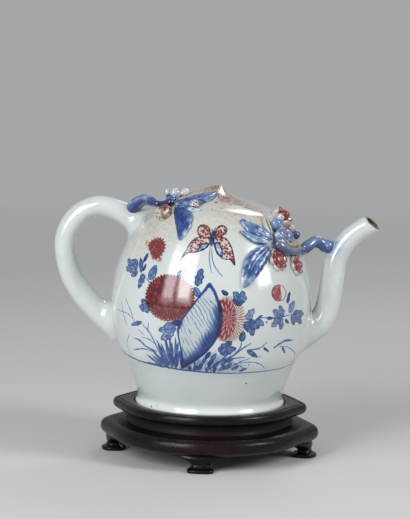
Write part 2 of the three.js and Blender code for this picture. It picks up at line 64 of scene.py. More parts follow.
TIP_RISE, TIP_LEAN, TIP_SPREAD = 4.4, 4.9, 22
TIP_LONG_SLOPE, TIP_SHORT_SLOPE = 14, 3.2
CROWN_TILT = 1.2

# The camera, as it was fitted to the photograph
PHOTO_SIZE = (410, 519)
CAMERA_PLACE = (107.33, -1295.17, 259.07)
CAMERA_TURN, CAMERA_DIP, CAMERA_ROLL = (math.radians(degrees) for degrees in (4.943, 7.368, 1.154))
FOCAL_PIXELS = 2104.2
SENSOR = 36

foot_low, foot_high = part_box("body_lower")
POT_ORIGIN = np.array([(foot_low.x + foot_high.x) / 2, (foot_low.y + foot_high.y) / 2, foot_low.z])
STAND_ORIGIN = np.array([POT_ORIGIN[0], POT_ORIGIN[1], 0.0])
# Height of the pot's foot above the table
STAND_SEAT = float(POT_ORIGIN[2]) * 1000


def on_frame(points, origin=POT_ORIGIN):
    """Points in millimetres about the pot's axis, in the metres of the model."""
    return np.asarray(points, float) * 0.001 + origin


sin, cos = math.sin, math.cos


# Curves

CURVE_STEPS = 80


def curve(points, count, power=0.25, held=False):
    """Points at even steps along a smooth curve through the given ones. Its ends run on, or are held."""
    points = np.asarray(points, float)
    first = points[0] if held else 2 * points[0] - points[1]
    last = points[-1] if held else 2 * points[-1] - points[-2]
    padded = np.vstack([first, points, last])
    share = np.linspace(0, 1, CURVE_STEPS, endpoint=False)[:, None]
    fine = []
    for before, start, end, after in zip(padded, padded[1:], padded[2:], padded[3:]):
        lead, gap, trail = (np.sum((to - at) ** 2) ** power
                            for at, to in ((before, start), (start, end), (end, after)))
        lead, trail = (size or 1.0 for size in (lead, trail))
        out = ((start - before) / lead - (end - before) / (lead + gap) + (end - start) / gap) * gap
        into = ((end - start) / gap - (after - start) / (gap + trail) + (after - end) / trail) * gap
        fine.append(start + share * out + share ** 2 * (3 * (end - start) - 2 * out - into)
                    + share ** 3 * (2 * (start - end) + out + into))
    fine = np.vstack([*fine, points[-1:]])
    length = np.r_[0, np.cumsum(np.linalg.norm(np.diff(fine, axis=0), axis=1))]
    at = np.linspace(0, length[-1], count)
    return np.column_stack([np.interp(at, length, axis) for axis in fine.T])


def length_of(points):
    return float(np.linalg.norm(np.diff(points, axis=0), axis=1).sum())


def smooth(value, low, high):
    share = np.clip((np.asarray(value, float) - low) / (high - low), 0, 1)
    return share * share * (3 - 2 * share)


def unit(vectors):
    return vectors / np.maximum(np.linalg.norm(vectors, axis=-1, keepdims=True), 1e-9)


# Body

outline = curve(OUTLINE, 4001, power=0, held=True)
OUT_RADIUS, OUT_HEIGHT = outline.T
OUT_LENGTH = length_of(outline)
OUT_ALONG = np.linspace(0, OUT_LENGTH, len(outline))
out_slope = unit(np.gradient(outline, axis=0))
OUT_NORMAL = np.column_stack([out_slope[:, 1], -out_slope[:, 0]])
OUT_NORMAL[-1] = (0, 1)
belly_index = int(np.argmin(np.abs(OUT_HEIGHT - BELLY_HEIGHT)))
SEAM_ALONG = OUT_ALONG[belly_index]


def along_at(height):
    return float(np.interp(height, OUT_HEIGHT, OUT_ALONG))


def crown_rise(x, y):
    """Rise of the crown above the turned shape, at a place seen from above."""
    from_tip = np.hypot(x - TIP_LEAN, y)
    ahead = np.where(from_tip > 0, (x - TIP_LEAN) / np.maximum(from_tip, 1e-9), 0)
    slope = (TIP_LONG_SLOPE + TIP_SHORT_SLOPE) / 2 - ahead * (TIP_LONG_SLOPE - TIP_SHORT_SLOPE) / 2
    fade = 1 - smooth(np.hypot(x, y), TIP_SPREAD, 2 * TIP_SPREAD)
    return fade * (TIP_RISE * np.exp(-from_tip / slope) - CROWN_TILT * x / TIP_SPREAD)


def skin(azimuth, along, lift=0.0):
    """Points of the body's outside, by angle from the spout and length up the outline."""
    radius = np.interp(along, OUT_ALONG, OUT_RADIUS) + lift * np.interp(along, OUT_ALONG, OUT_NORMAL[:, 0])
    height = np.interp(along, OUT_ALONG, OUT_HEIGHT) + lift * np.interp(along, OUT_ALONG, OUT_NORMAL[:, 1])
    x, y = radius * np.cos(azimuth), radius * np.sin(azimuth)
    near = np.clip(1 - radius / TIP_SPREAD, 0, 1)
    moved = x + TIP_LEAN * near ** 2
    upper = slice(len(outline) - 1, belly_index, -1)
    fall = (np.interp(np.hypot(moved, y), OUT_RADIUS[upper], OUT_HEIGHT[upper])
            - np.interp(radius, OUT_RADIUS[upper], OUT_HEIGHT[upper]))
    raised = height + np.where(near > 0, fall, 0) + crown_rise(moved, y)
    height = np.where(height > CHEST_HEIGHT, raised, height)
    return np.stack(np.broadcast_arrays(moved, y, height), axis=-1)


STATION_STEP = 10
STATIONS = outline[::STATION_STEP]
PLACES_AT_ONCE = 4000


def nearest(points):
    """For points in space: the place on the body nearest to each, its normal, how far out the point lies, and
    the length up the outline."""
    flat = points.reshape(-1, 3)
    rise = crown_rise(flat[:, 0], flat[:, 1])
    radius, height = np.hypot(flat[:, 0], flat[:, 1]), flat[:, 2] - rise
    turned = np.column_stack([radius, height])
    index = STATION_STEP * np.concatenate([
        np.argmin((part[:, :1] - STATIONS[:, 0]) ** 2 + (part[:, 1:] - STATIONS[:, 1]) ** 2, axis=1)
        for part in np.array_split(turned, len(flat) // PLACES_AT_ONCE + 1)])
    normal, slope = OUT_NORMAL[index], out_slope[index]
    offset = turned - outline[index]
    on_line = outline[index] + slope * np.sum(offset * slope, axis=1)[:, None]
    out = np.sum(offset * normal, axis=1)
    outward = flat[:, :2] / np.maximum(radius, 1e-9)[:, None]
    place = np.column_stack([outward * on_line[:, :1], on_line[:, 1] + rise])
    normals = unit(np.column_stack([outward * normal[:, :1], normal[:, 1]]))
    shape, count = points.shape, points.shape[:-1]
    return place.reshape(shape), normals.reshape(shape), out.reshape(count), OUT_ALONG[index].reshape(count)


def seat(points, lift):
    place, normal, _, _ = nearest(points)
    return place + normal * np.asarray(lift)[..., None]


def spot(azimuth, share, lift=0.0):
    """A place on the body by degrees round from the spout, the front below zero, and by the share of the
    outline's length down from the top, with its normal."""
    along = (1 - share) * OUT_LENGTH
    place = skin(np.radians(azimuth), along)
    normal = nearest(place[None])[1][0]
    return place + normal * lift, normal


# Camera

camera_ahead = np.array([-sin(CAMERA_TURN) * cos(CAMERA_DIP), cos(CAMERA_TURN) * cos(CAMERA_DIP),
                         -sin(CAMERA_DIP)])
camera_level = np.array([cos(CAMERA_TURN), sin(CAMERA_TURN), 0])
camera_upward = np.cross(camera_level, camera_ahead)
camera_right = cos(CAMERA_ROLL) * camera_level + sin(CAMERA_ROLL) * camera_upward
camera_up = -sin(CAMERA_ROLL) * camera_level + cos(CAMERA_ROLL) * camera_upward
# The way from the camera to the body is found in small steps from a first guess
FIRST_REACH, REACH_STEPS, STEP_SHARE = 1180.0, 60, 0.8


def make_camera():
    camera = bpy.data.objects.new("camera", bpy.data.cameras.new("camera"))
    camera.data.lens = FOCAL_PIXELS * SENSOR / max(PHOTO_SIZE)
    camera.data.sensor_width = SENSOR
    turn = Matrix((camera_right, camera_up, -camera_ahead)).transposed()
    camera.matrix_world = Matrix.Translation(on_frame(CAMERA_PLACE)) @ turn.to_4x4()
    bpy.context.collection.objects.link(camera)
    bpy.context.scene.camera = camera


def seen_places(pixels):
    """Where the photograph's pixels lie on the body, as points and as lengths up the outline."""
    middle = np.array(PHOTO_SIZE) / 2
    across, down = (np.asarray(pixels, float).reshape(-1, 2) - middle).T / FOCAL_PIXELS
    rays = unit(camera_ahead + across[:, None] * camera_right - down[:, None] * camera_up)
    reach = np.full(len(rays), FIRST_REACH)
    for _ in range(REACH_STEPS):
        place = np.array(CAMERA_PLACE) + rays * reach[:, None]
        _, _, out, along = nearest(place)
        reach += STEP_SHARE * out
    return place, along


def on_body(pixels):
    """Where pixels lie on the body: angle from the middle of the front, and length up the outline."""
    place, along = seen_places(pixels)
    return np.column_stack([np.arctan2(place[:, 0], -place[:, 1]), along])


# Meshes

def band(a, count_a, b, count_b):
    """Faces between two rings of points that start at a and b. One may hold a whole multiple of the other."""
    if count_a < count_b:
        return [face[::-1] for face in band(b, count_b, a, count_a)]
    this = np.arange(count_a)
    after = (this + 1) % count_a
    if count_a == count_b:
        return np.column_stack([a + this, a + after, b + after, b + this]).tolist()
    ratio = count_a // count_b
    meets = ((this + ratio // 2) // ratio) % count_b
    faces = np.column_stack([a + this, a + after, b + meets]).tolist()
    if count_b > 1:
        small = np.arange(count_b)
        middle = a + small * ratio + ratio // 2
        faces += np.column_stack([middle, b + (small + 1) % count_b, b + small]).tolist()
    return faces


def rings_to_mesh(name, rings, origin=POT_ORIGIN, closed=False, values=None, sharp=35):
    """A closed skin through rings of points. Values are named numbers at each point, four at a time."""
    counts = [len(ring) for ring in rings]
    starts = np.r_[0, np.cumsum(counts)]
    points = np.vstack(rings)
    faces = []
    for k in range(len(rings) - (0 if closed else 1)):
        after = (k + 1) % len(rings)
        faces += band(starts[k], counts[k], starts[after], counts[after])
    if not closed:
        for start, count, turn in ((starts[0], counts[0], -1), (starts[-2], counts[-1], 1)):
            if count > 1:
                faces.append(list(range(start, start + count))[::turn])
    return to_mesh(name, points, faces, origin, values, sharp)


def to_mesh(name, points, faces, origin=POT_ORIGIN, values=None, sharp=35):
    mesh = bpy.data.meshes.new(name)
    mesh.from_pydata(on_frame(points, origin).tolist(), [], faces)
    mesh.shade_smooth()
    mesh.set_sharp_from_angle(angle=math.radians(sharp))
    for key, numbers in (values or {}).items():
        padded = np.zeros((len(points), 4), np.float32)
        numbers = np.asarray(numbers).reshape(len(points), -1)
        padded[:, :numbers.shape[1]] = numbers
        mesh.attributes.new(key, "FLOAT_COLOR", "POINT").data.foreach_set("color", padded.ravel())
    thing = bpy.data.objects.new(name, mesh)
    bpy.context.collection.objects.link(thing)
    return thing


def fit(thing, node, material, body="teapot"):
    """The piece takes the place of its solid, which gives it its body."""
    thing.data.materials.append(material)
    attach(thing, body)
    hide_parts(node)
    return thing


# Surfaces: arithmetic on a Field adds nodes to its material

def feed(socket, value):
    if isinstance(value, Field):
        value.tree.links.new(value.socket, socket)
    else:
        socket.default_value = value


class Field:
    """A number that a material works out at each point of a surface."""

    def __init__(self, tree, socket):
        self.tree, self.socket = tree, socket

    def math(self, operation, *others):
        node = self.tree.nodes.new("ShaderNodeMath")
        node.operation = operation
        for socket, value in zip(node.inputs, (self, *others)):
            feed(socket, value)
        return Field(self.tree, node.outputs[0])

    def __add__(self, other):
        return self.math("ADD", other)

    def __mul__(self, other):
        return self.math("MULTIPLY", other)

    def __sub__(self, other):
        return self.math("SUBTRACT", other)

    def __rsub__(self, other):
        return self * -1 + other

    def __pow__(self, other):
        return self.math("POWER", other)

    def __abs__(self):
        return self.math("ABSOLUTE")

    __radd__, __rmul__ = __add__, __mul__

    def most(self, other):
        return self.math("MAXIMUM", other)

    def step(self, low, high):
        """0 at low, 1 at high and smooth between. Low may be the larger."""
        node = self.tree.nodes.new("ShaderNodeMapRange")
        node.interpolation_type = "SMOOTHSTEP"
        for name, value in (("Value", self), ("From Min", low), ("From Max", high)):
            feed(node.inputs[name], value)
        return Field(self.tree, node.outputs[0])


COAT_ROUGHNESS = 0.08


class Surface:
    """A material whose colour is built up by arithmetic."""

    def __init__(self, name, roughness, coat=0.0, specular=0.5):
        self.material = bpy.data.materials.new(name)
        self.material.use_nodes = True
        self.tree = self.material.node_tree
        self.shader = self.tree.nodes["Principled BSDF"]
        self.shader.inputs["Roughness"].default_value = roughness
        self.shader.inputs["Coat Weight"].default_value = coat
        self.shader.inputs["Coat Roughness"].default_value = COAT_ROUGHNESS
        self.shader.inputs["Specular IOR Level"].default_value = specular
        self.place = self.tree.nodes.new("ShaderNodeTexCoord").outputs["Object"]

    def values(self, name):
        """The four numbers that the mesh holds under this name."""
        node = self.tree.nodes.new("ShaderNodeAttribute")
        node.attribute_name = name
        parts = self.tree.nodes.new("ShaderNodeSeparateColor")
        self.tree.links.new(node.outputs["Color"], parts.inputs[0])
        return [Field(self.tree, socket) for socket in (*parts.outputs, node.outputs["Alpha"])]

    def stretched(self, stretch):
        node = self.tree.nodes.new("ShaderNodeVectorMath")
        node.operation = "MULTIPLY"
        self.tree.links.new(self.place, node.inputs[0])
        node.inputs[1].default_value = stretch
        return node.outputs[0]

    def noise(self, size, detail, stretch=(1, 1, 1)):
        """Soft noise from 0 to 1 with blots of this size in millimetres."""
        node = self.tree.nodes.new("ShaderNodeTexNoise")
        self.tree.links.new(self.stretched(stretch), node.inputs["Vector"])
        node.inputs["Scale"].default_value = 1000 / size
        node.inputs["Detail"].default_value = detail
        return Field(self.tree, node.outputs[0])

    def cells(self, size, randomness):
        """Distance to the middle of the nearest of many cells of this size, as a share of the size."""
        node = self.tree.nodes.new("ShaderNodeTexVoronoi")
        self.tree.links.new(self.place, node.inputs["Vector"])
        node.inputs["Scale"].default_value = 1000 / size
        node.inputs["Randomness"].default_value = randomness
        return Field(self.tree, node.outputs["Distance"])

    def places(self):
        """Place in the model, in millimetres to the right, to the back and up."""
        node = self.tree.nodes.new("ShaderNodeSeparateXYZ")
        self.tree.links.new(self.place, node.inputs[0])
        return [Field(self.tree, socket) * 1000 for socket in node.outputs]

    def colour(self, channels):
        node = self.tree.nodes.new("ShaderNodeCombineColor")
        for socket, value in zip(node.inputs, channels):
            feed(socket, value)
        self.tree.links.new(node.outputs[0], self.shader.inputs["Base Color"])

    def rough(self, value):
        feed(self.shader.inputs["Roughness"], value)

    def painted(self, channels, depth):
        """Gives the material its colour and its bump."""
        self.colour(channels)
        self.bump(depth)
        return self.material

    def bump(self, depth):
        """Depth is in millimetres."""
        node = self.tree.nodes.new("ShaderNodeBump")
        node.inputs["Distance"].default_value = 0.001
        feed(node.inputs["Height"], depth)
        self.tree.links.new(node.outputs[0], self.shader.inputs["Normal"])


# Painting. Places are pixels of the photograph, widths are millimetres on the pot.

# Leaves: base, tip, half width, depth of the blue, lobes
LEAVES = [
    ((137.5, 268), (127.5, 259.5), 2.9, 0.6, 3), ((137, 270), (125.8, 267.5), 2.9, 0.62, 3),
    ((138, 271), (131, 276), 2.2, 0.6, 0), ((137.5, 267), (134.5, 258.5), 1.8, 0.62, 0),
    ((142, 272), (140.5, 257.5), 1.7, 0.75, 0),
    ((143.5, 270.5), (146.3, 263.5), 0.9, 0.95, 0), ((149.5, 280), (156.5, 264.5), 3.0, 0.56, 0),
    ((144, 274), (138.5, 288.5), 2.9, 0.64, 3), ((149.5, 308), (141, 299.5), 2.9, 0.62, 2),
    ((150, 310), (139, 306), 2.8, 0.66, 2),
    ((177.5, 277), (186.5, 270.5), 2.4, 0.36, 0), ((197, 286), (202, 268), 2.9, 0.72, 3),
    ((199, 297), (194.5, 287), 2.1, 0.5, 0), ((176, 328), (158.5, 330.5), 3.2, 0.5, 3),
    ((173, 331), (161, 340), 3.4, 0.5, 3), ((175, 327), (164.5, 324), 2.2, 0.5, 0),
    ((181, 322), (170.5, 324), 1.9, 1.1, 0), ((228, 295.5), (221.5, 290.5), 1.4, 1.1, 0),
    ((243, 302), (233, 291.5), 2.9, 0.6, 2), ((243.5, 303), (242, 290.5), 2.6, 0.6, 2),
    ((242.5, 303.5), (232, 299.5), 2.2, 0.6, 0), ((246.5, 320), (254, 308.5), 2.7, 0.38, 2),
    ((248, 321), (259.5, 328), 2.9, 0.75, 2), ((247.5, 321), (253.5, 336), 3.0, 0.8, 3),
    ((247, 321), (246.5, 331), 2.2, 0.75, 0), ((256.5, 320), (264, 326), 1.9, 0.5, 0),
    ((241.5, 341.5), (243.5, 331), 2.1, 1.0, 0),
    ((282.5, 316.5), (272.5, 310.5), 2.7, 0.5, 2), ((283.5, 316), (279, 305.5), 2.6, 0.48, 2),
    ((280.5, 317.5), (281.5, 330), 2.6, 0.5, 2), ((279, 318), (271.5, 327), 2.7, 0.5, 2),
    ((289, 312.5), (294.5, 300.5), 2.5, 0.36, 0), ((293, 313), (304, 314), 2.6, 0.7, 2),
    ((292.5, 314), (302, 323), 2.9, 0.7, 2), ((291.5, 315), (294.5, 325), 2.1, 0.66, 0),
    ((285, 319.5), (289, 323.5), 1.0, 1.2, 0), ((287, 303), (290, 291.5), 1.6, 1.1, 2),
    ((267, 318), (273, 318.5), 1.1, 1.2, 0), ((218.5, 352), (232, 341), 3.0, 0.7, 3),
    ((220, 354), (236.5, 348), 2.9, 0.74, 3),
    ((224, 369), (232, 363.5), 1.3, 0.5, 0), ((231, 369.5), (239, 366), 1.1, 0.45, 0),
    ((226, 362), (233.5, 358), 1.3, 0.6, 0), ((221, 366), (226.5, 359.5), 1.1, 0.4, 0),
    ((189, 371.5), (190.5, 365.5), 1.1, 0.5, 0), ((239, 371), (247, 368.5), 1.0, 0.4, 0),
    ((205.5, 358.5), (210.5, 351.5), 1.3, 0.9, 0), ((211, 360), (216.5, 353.5), 1.3, 0.4, 0),
    ((208, 365.5), (213.5, 359.5), 1.3, 0.75, 0), ((202, 364.5), (206, 357.5), 1.2, 0.4, 0),
    ((213, 368), (219, 361.5), 1.3, 0.45, 0), ((198.5, 370.5), (202, 363), 1.3, 0.5, 0),
    ((206, 371.5), (209.5, 365.5), 1.2, 0.55, 0), ((194, 371), (197, 365), 1.0, 0.7, 0),
    ((218.5, 371), (226, 365.5), 1.2, 0.45, 0), ((213.5, 372.5), (216, 367), 0.9, 0.7, 0),
    ((256, 320), (263, 315), 0.8, 0.85, 0), ((143.5, 262.5), (148.5, 252.5), 1.4, 1.05, 0),
    ((142, 322), (131, 325), 1.3, 0.7, 0), ((247, 350), (257.5, 357.5), 1.5, 0.75, 0),
    ((263.5, 347.5), (269, 352), 0.8, 0.7, 0), ((282, 346.5), (285, 353.5), 0.8, 0.6, 0),
    ((265.5, 322), (267.5, 322.3), 0.5, 0.8, 0),
]
# Blades of the grass that stand close together
CLUMP = [
    ((170, 366), (157.5, 345)), ((169, 365), (161, 342.5)), ((171, 364), (166.5, 340.5)),
    ((173, 366), (172, 342.5)), ((175, 366), (178.5, 341.5)), ((176.5, 367), (180, 350)),
    ((167, 367), (152, 355)), ((165, 367.5), (147, 361.5)), ((166, 364), (160, 351)),
    ((172.5, 368), (169, 351)), ((168, 365), (150.5, 348.5)), ((170, 365), (156, 338.5)),
    ((174, 364), (169, 335.5)), ((176.5, 364), (175.5, 337)), ((163, 366.5), (146, 354)),
    ((172, 366), (164.5, 337)), ((176, 369), (175, 355)), ((169.5, 369), (163.5, 357)),
]
BLADE = (0.85, 0.36, 0)

# Brush strokes: half width, then the places along it
STROKES = [
    (0.45, (165, 363), (157, 347), (149, 332), (142, 324)), (0.32, (127, 326), (123.5, 314), (121.5, 301)),
    (0.28, (134, 323), (131.5, 313), (125.5, 297)), (0.28, (117, 309), (122, 311.5), (128, 314), (133, 319)),
    (0.28, (148.5, 322), (147.7, 333)), (0.62, (157, 352), (147, 347), (139, 340), (134, 338)),
    (0.42, (133, 350), (143, 348.5), (153, 352)), (0.32, (141, 337), (148, 339), (155, 344)),
    (0.28, (139, 270), (143, 275), (147, 279), (150.5, 278)), (0.28, (146, 279), (151, 283), (156, 286)),
    (0.28, (144, 261), (141, 270)), (0.22, (130, 333), (127, 345), (133, 356)),
    (0.22, (138, 329), (145, 336)),
    (0.6, (207, 371), (219, 362), (232, 356), (243, 348), (251, 343)),
    (0.45, (219, 362), (232, 359), (245, 357.5)), (0.42, (247, 350), (260, 348), (267, 342)),
    (0.72, (273.5, 348), (284, 341.5), (293, 340)),
    (0.28, (280, 346), (286, 346.5), (291, 349), (295, 355), (293, 360), (288.5, 361.5)),
    (0.28, (237, 363.5), (249, 362), (259, 363.5), (265, 368.5)), (0.28, (230, 362), (240, 366), (245, 370)),
    (0.45, (210, 372), (225, 357), (233, 352)), (0.35, (241.5, 341), (240.5, 347), (236, 352)),
    (0.4, (246, 323), (255, 320), (262, 318), (268, 318), (276, 318), (285, 316), (293, 314)),
    (0.32, (288, 303), (291, 308), (290, 313)), (0.3, (257, 357), (262, 356.5)),
    (0.22, (252, 330), (256, 326), (258, 321)), (0.24, (248, 366), (249.5, 363)),
    (0.38, (193, 371), (197, 352), (200, 340)), (0.35, (186, 369), (183, 352), (184, 338)),
    (0.3, (224, 371), (238, 363), (250, 358)),
]
# Outline of the rock
ROCK = [
    (209.5, 283.8), (214.4, 291), (218.6, 301.6), (221, 312), (220.7, 322.6), (218.6, 333), (213, 343.7),
    (205.3, 352.8), (193.3, 361.2), (182.1, 368.3), (181.4, 364.7), (181.2, 350.7), (178.2, 336),
    (177.6, 330), (182.1, 319.1), (189.1, 310), (196.1, 300.2), (205.3, 289),
]
ROCK_RIGHT_EDGE = ROCK[3:7]
ROCK_FOOT = ROCK[6:10]
# Thick places of the rock's outline: where, how far round, and how much thicker in millimetres
ROCK_THICK = [((211, 286.5), 8, 0.55), ((179, 325), 6, 0.6), ((220.7, 318), 12, 0.8), ((219, 330), 8, 0.5),
              ((181, 362), 9, 0.45), ((201, 356.5), 8, 0.3)]
# The hatching's direction, how much it bends, and how far the wash reaches from the right edge and the foot
ROCK_HATCH, HATCH_BEND = (0.87, 0.5), 0.004
ROCK_LINE = 0.42
SIDE_WASH, FOOT_WASH = 5.2, 5.0

# Flowers: middle, half width, half height, kind
BIG_FLOWER, HALF_FLOWER, SMALL_FLOWER, PAINTED_BUD = 1, 2, 3, 4
FLOWERS = [((168.3, 297.7), 17.2, 14.8, BIG_FLOWER), ((228.6, 319.3), 11.6, 15.4, HALF_FLOWER),
           ((155.2, 248.5), 7.7, 7.6, SMALL_FLOWER), ((279.2, 293), 6.2, 5.3, PAINTED_BUD)]

# Outlines of the butterfly's wings, and of the lobes in them
WINGS = [
    [(210.5, 232.5), (208.2, 226.8), (202.5, 224.7), (198.4, 227), (197.6, 232.5), (200, 236.5), (205.5, 238),
     (211, 238.5)],
    [(210, 239), (204, 236.6), (197.5, 237.3), (191, 242), (186.5, 249), (181.5, 257.8), (187.5, 253.2),
     (196.7, 252.2), (204, 249.5), (210, 244)],
    [(214.5, 235), (217, 228), (221.8, 225.4), (226.3, 227.3), (227, 231.5), (223.5, 235.2), (216, 237.5)],
    [(213, 238.5), (219, 236.7), (225.5, 238), (230.6, 244.5), (233.4, 253.5), (234.8, 265.3), (230, 260),
     (225, 259.5), (219.5, 256), (214.3, 246.5)],
]
WING_LOBES = [
    [(209, 243), (203, 243.5), (198.6, 248), (197, 252), (203, 250), (208, 246.5)],
    [(214.2, 243), (218.5, 242.5), (221.8, 248.5), (222.8, 255.5), (219.5, 256.5), (216, 252)],
]
BUTTERFLY_STROKES = [
    (1.25, (214.2, 230.5), (212.6, 236), (212, 241), (211.4, 246)),
    (0.24, (210.7, 246), (209.2, 258), (211.5, 273)),
    (0.28, (211.7, 249), (213, 262), (217, 270), (223, 277)), (0.26, (214, 231), (216, 227)),
    (0.26, (187, 252), (181.5, 258), (178.5, 263)), (0.4, (233, 258), (234.8, 266)),
]
# Washes behind the grass: middle, size, strength
WASHES = [((188, 364), 6.0, 0.5), ((206, 364), 6.0, 0.45), ((222, 364), 6.0, 0.3), ((168, 361), 6.5, 0.4),
          ((178, 357), 4.0, 0.35), ((152, 358), 5.0, 0.1), ((236, 366), 5.0, 0.2), ((180, 322), 2.2, 0.8)]
# The ring round the foot of the picture isn't quite level: it is followed through these pixels
GROUND = [(121.5, 353.7), (140, 361), (160, 366), (190, 371), (230, 373.5), (260, 371.5), (280, 368.5),
          (297, 359.4)]
# Blots of the crown: place, size in millimetres, red, brown. Broad brown ones are partly painted shade
BLOTS = [((213, 232.5), 1.7, 0.8, 0.0), ((212, 239), 1.5, 0.6, 0.0), ((205, 229), 2.6, 0.1, 0.0),
         ((159.8, 259.5), 1.2, 0.4, 0.6), ((147.0, 243), 1.2, 0.1, 0.4),
         ((216, 187), 6, 0.4, 0.42), ((206, 189), 6, 0.22, 0.26), ((192, 192.5), 5, 0.08, 0.14),
         ((219, 198), 6, 0.3, 0.14), ((233, 199.5), 6.5, 0.27, 0.2), ((225, 197), 6, 0.2, 0.12),
         ((246, 206), 8, 0.11, 0.12), ((262, 213.5), 7, 0.06, 0.12),
         # Broad brown blots over the shoulders: partly a warm stain, partly painted shade
         ((150, 228), 17, 0.03, 0.13), ((207, 216), 22, 0.02, 0.09), ((262, 226), 9, 0.0, 0.12),
         ((238, 214), 10, 0.02, 0.1)]
# Dark specks: place and size
SPECKS = [(218, 195, 0.8), (214.4, 198, 0.6), (220.4, 200, 0.5), (216, 202.7, 0.9), (222, 208, 0.5),
          (212, 209.4, 0.45), (230.5, 205, 0.6), (235.4, 208.7, 0.45), (246, 205.5, 0.5), (209, 193, 0.5),
          (226, 212, 0.35), (145, 404, 0.45), (151, 406.5, 0.6), (157, 406, 0.4), (246, 383.5, 0.5),
          (199, 228, 0.3), (168, 246, 0.3)]


def smooth_outline(pixels, count):
    return curve([*pixels, pixels[0]], count + 1)[:-1]


def flat_place(front, along, middle):
    """Millimetres to the right of and above a place on the body, as if the skin round it were laid flat."""
    return (front - middle[0]) * np.interp(along, OUT_ALONG, OUT_RADIUS), along - middle[1]


class Motif:
    """Something painted round a place. Its own points are laid flat round their middle."""

    def __init__(self, pixels, reach, amount=None):
        marks = on_body(pixels)
        self.middle = marks.mean(axis=0)
        self.points = np.column_stack(flat_place(*marks.T, self.middle))
        if amount:
            self.points = curve(self.points, amount)
        self.reach = np.abs(self.points).max(axis=0) + reach

    def near(self, front, along):
        """The vertices within reach, and where they lie on the flat."""
        x, y = flat_place(front, along, self.middle)
        index = np.flatnonzero((np.abs(x) < self.reach[0]) & (np.abs(y) < self.reach[1]))
        return index, np.column_stack([x[index], y[index]])


def to_path(flat, points):
    """Signed distance to a path, share of the way along it, and how far past its ends."""
    start, step = points[:-1], np.diff(points, axis=0)
    size = np.linalg.norm(step, axis=1)
    offset = flat[:, None] - start
    share = np.sum(offset * step, axis=2) / size ** 2
    gap = np.linalg.norm(offset - np.clip(share, 0, 1)[..., None] * step, axis=2)
    best = np.argmin(gap, axis=1)
    row = np.arange(len(flat))
    direction = step[best] / size[best, None]
    side = offset[row, best, 0] * direction[:, 1] - offset[row, best, 1] * direction[:, 0]
    past = np.where(best == 0, np.maximum(-share[row, best], 0) * size[0], 0)
    past += np.where(best == len(size) - 1, np.maximum(share[row, best] - 1, 0) * size[-1], 0)
    distance = np.where(past > 0, np.abs(side), gap[row, best]) * np.sign(side)
    travelled = np.r_[0, np.cumsum(size)][best] + np.clip(share[row, best], 0, 1) * size[best]
    return distance, travelled / size.sum(), past


def inside(flat, polygon):
    """Distance inside a closed outline, below zero outside it."""
    closed = np.vstack([polygon, polygon[:1]])
    step = np.diff(closed, axis=0)
    offset = flat[:, None] - closed[:-1]
    share = np.clip(np.sum(offset * step, axis=2) / np.sum(step ** 2, axis=1), 0, 1)
    gap = np.linalg.norm(offset - share[..., None] * step, axis=2).min(axis=1)
    above = closed[None, :, 1] > flat[:, 1:]
    run = offset[..., 0] - step[:, 0] * offset[..., 1] / np.where(step[:, 1] == 0, 1e-9, step[:, 1])
    crossings = ((above[:, :-1] != above[:, 1:]) & (run < 0)).sum(axis=1)
    return np.where(crossings % 2 == 1, gap, -gap)


LINE_LAYERS, LINE_REACH, LINE_CLEARANCE = 4, 1.7, 2.6
# Distance inside a shape that stands for being well outside it, and an angle where nothing is painted
NOWHERE, ELSEWHERE = -2.0, 9.0
# Distance from a line or a flower's middle that stands for being well away, and the largest height kept
FAR_AWAY, HIGHEST = 3.0, 9

LEAF_REACH, BLADE_REACH, SHAPE_REACH, WASH_REACH = 7, 4, 3, 3
FLOWER_REACH, FLOWER_NEAR = 1.35, 1.3
STROKE_POINTS, WING_POINTS, LOBE_POINTS = 24, 40, 30

# The butterfly's strokes are on the front alone
line_motifs = [(Motif(places, LINE_CLEARANCE + 0.6, STROKE_POINTS), half, strokes is BUTTERFLY_STROKES)
               for strokes in (STROKES, BUTTERFLY_STROKES) for half, *places in strokes]
leaf_motifs = [(Motif([base, tip], LEAF_REACH), *looks) for base, tip, *looks in LEAVES]
leaf_motifs += [(Motif(places, BLADE_REACH), *BLADE) for places in CLUMP]
flower_motifs = [(Motif([middle], FLOWER_REACH * high), wide, high, kind)
                 for middle, wide, high, kind in FLOWERS]
rock_motif = Motif(ROCK, SHAPE_REACH)
rock_edge, rock_foot, rock_thick = (
    np.column_stack(flat_place(*on_body(pixels).T, rock_motif.middle))
    for pixels in (ROCK_RIGHT_EDGE, ROCK_FOOT, [place for place, _, _ in ROCK_THICK]))
ground_marks = on_body(GROUND)
blot_marks = seen_places([place for place, *_ in BLOTS])[0]
speck_marks = seen_places([mark[:2] for mark in SPECKS])[0]
wing_motifs = [Motif(smooth_outline(wing, WING_POINTS), SHAPE_REACH) for wing in WINGS]
lobe_motifs = [Motif(smooth_outline(lobe, LOBE_POINTS), SHAPE_REACH) for lobe in WING_LOBES]
wash_motifs = [(Motif([place], WASH_REACH * size), size, strength) for place, size, strength in WASHES]


STROKE_TAPER = 0.55


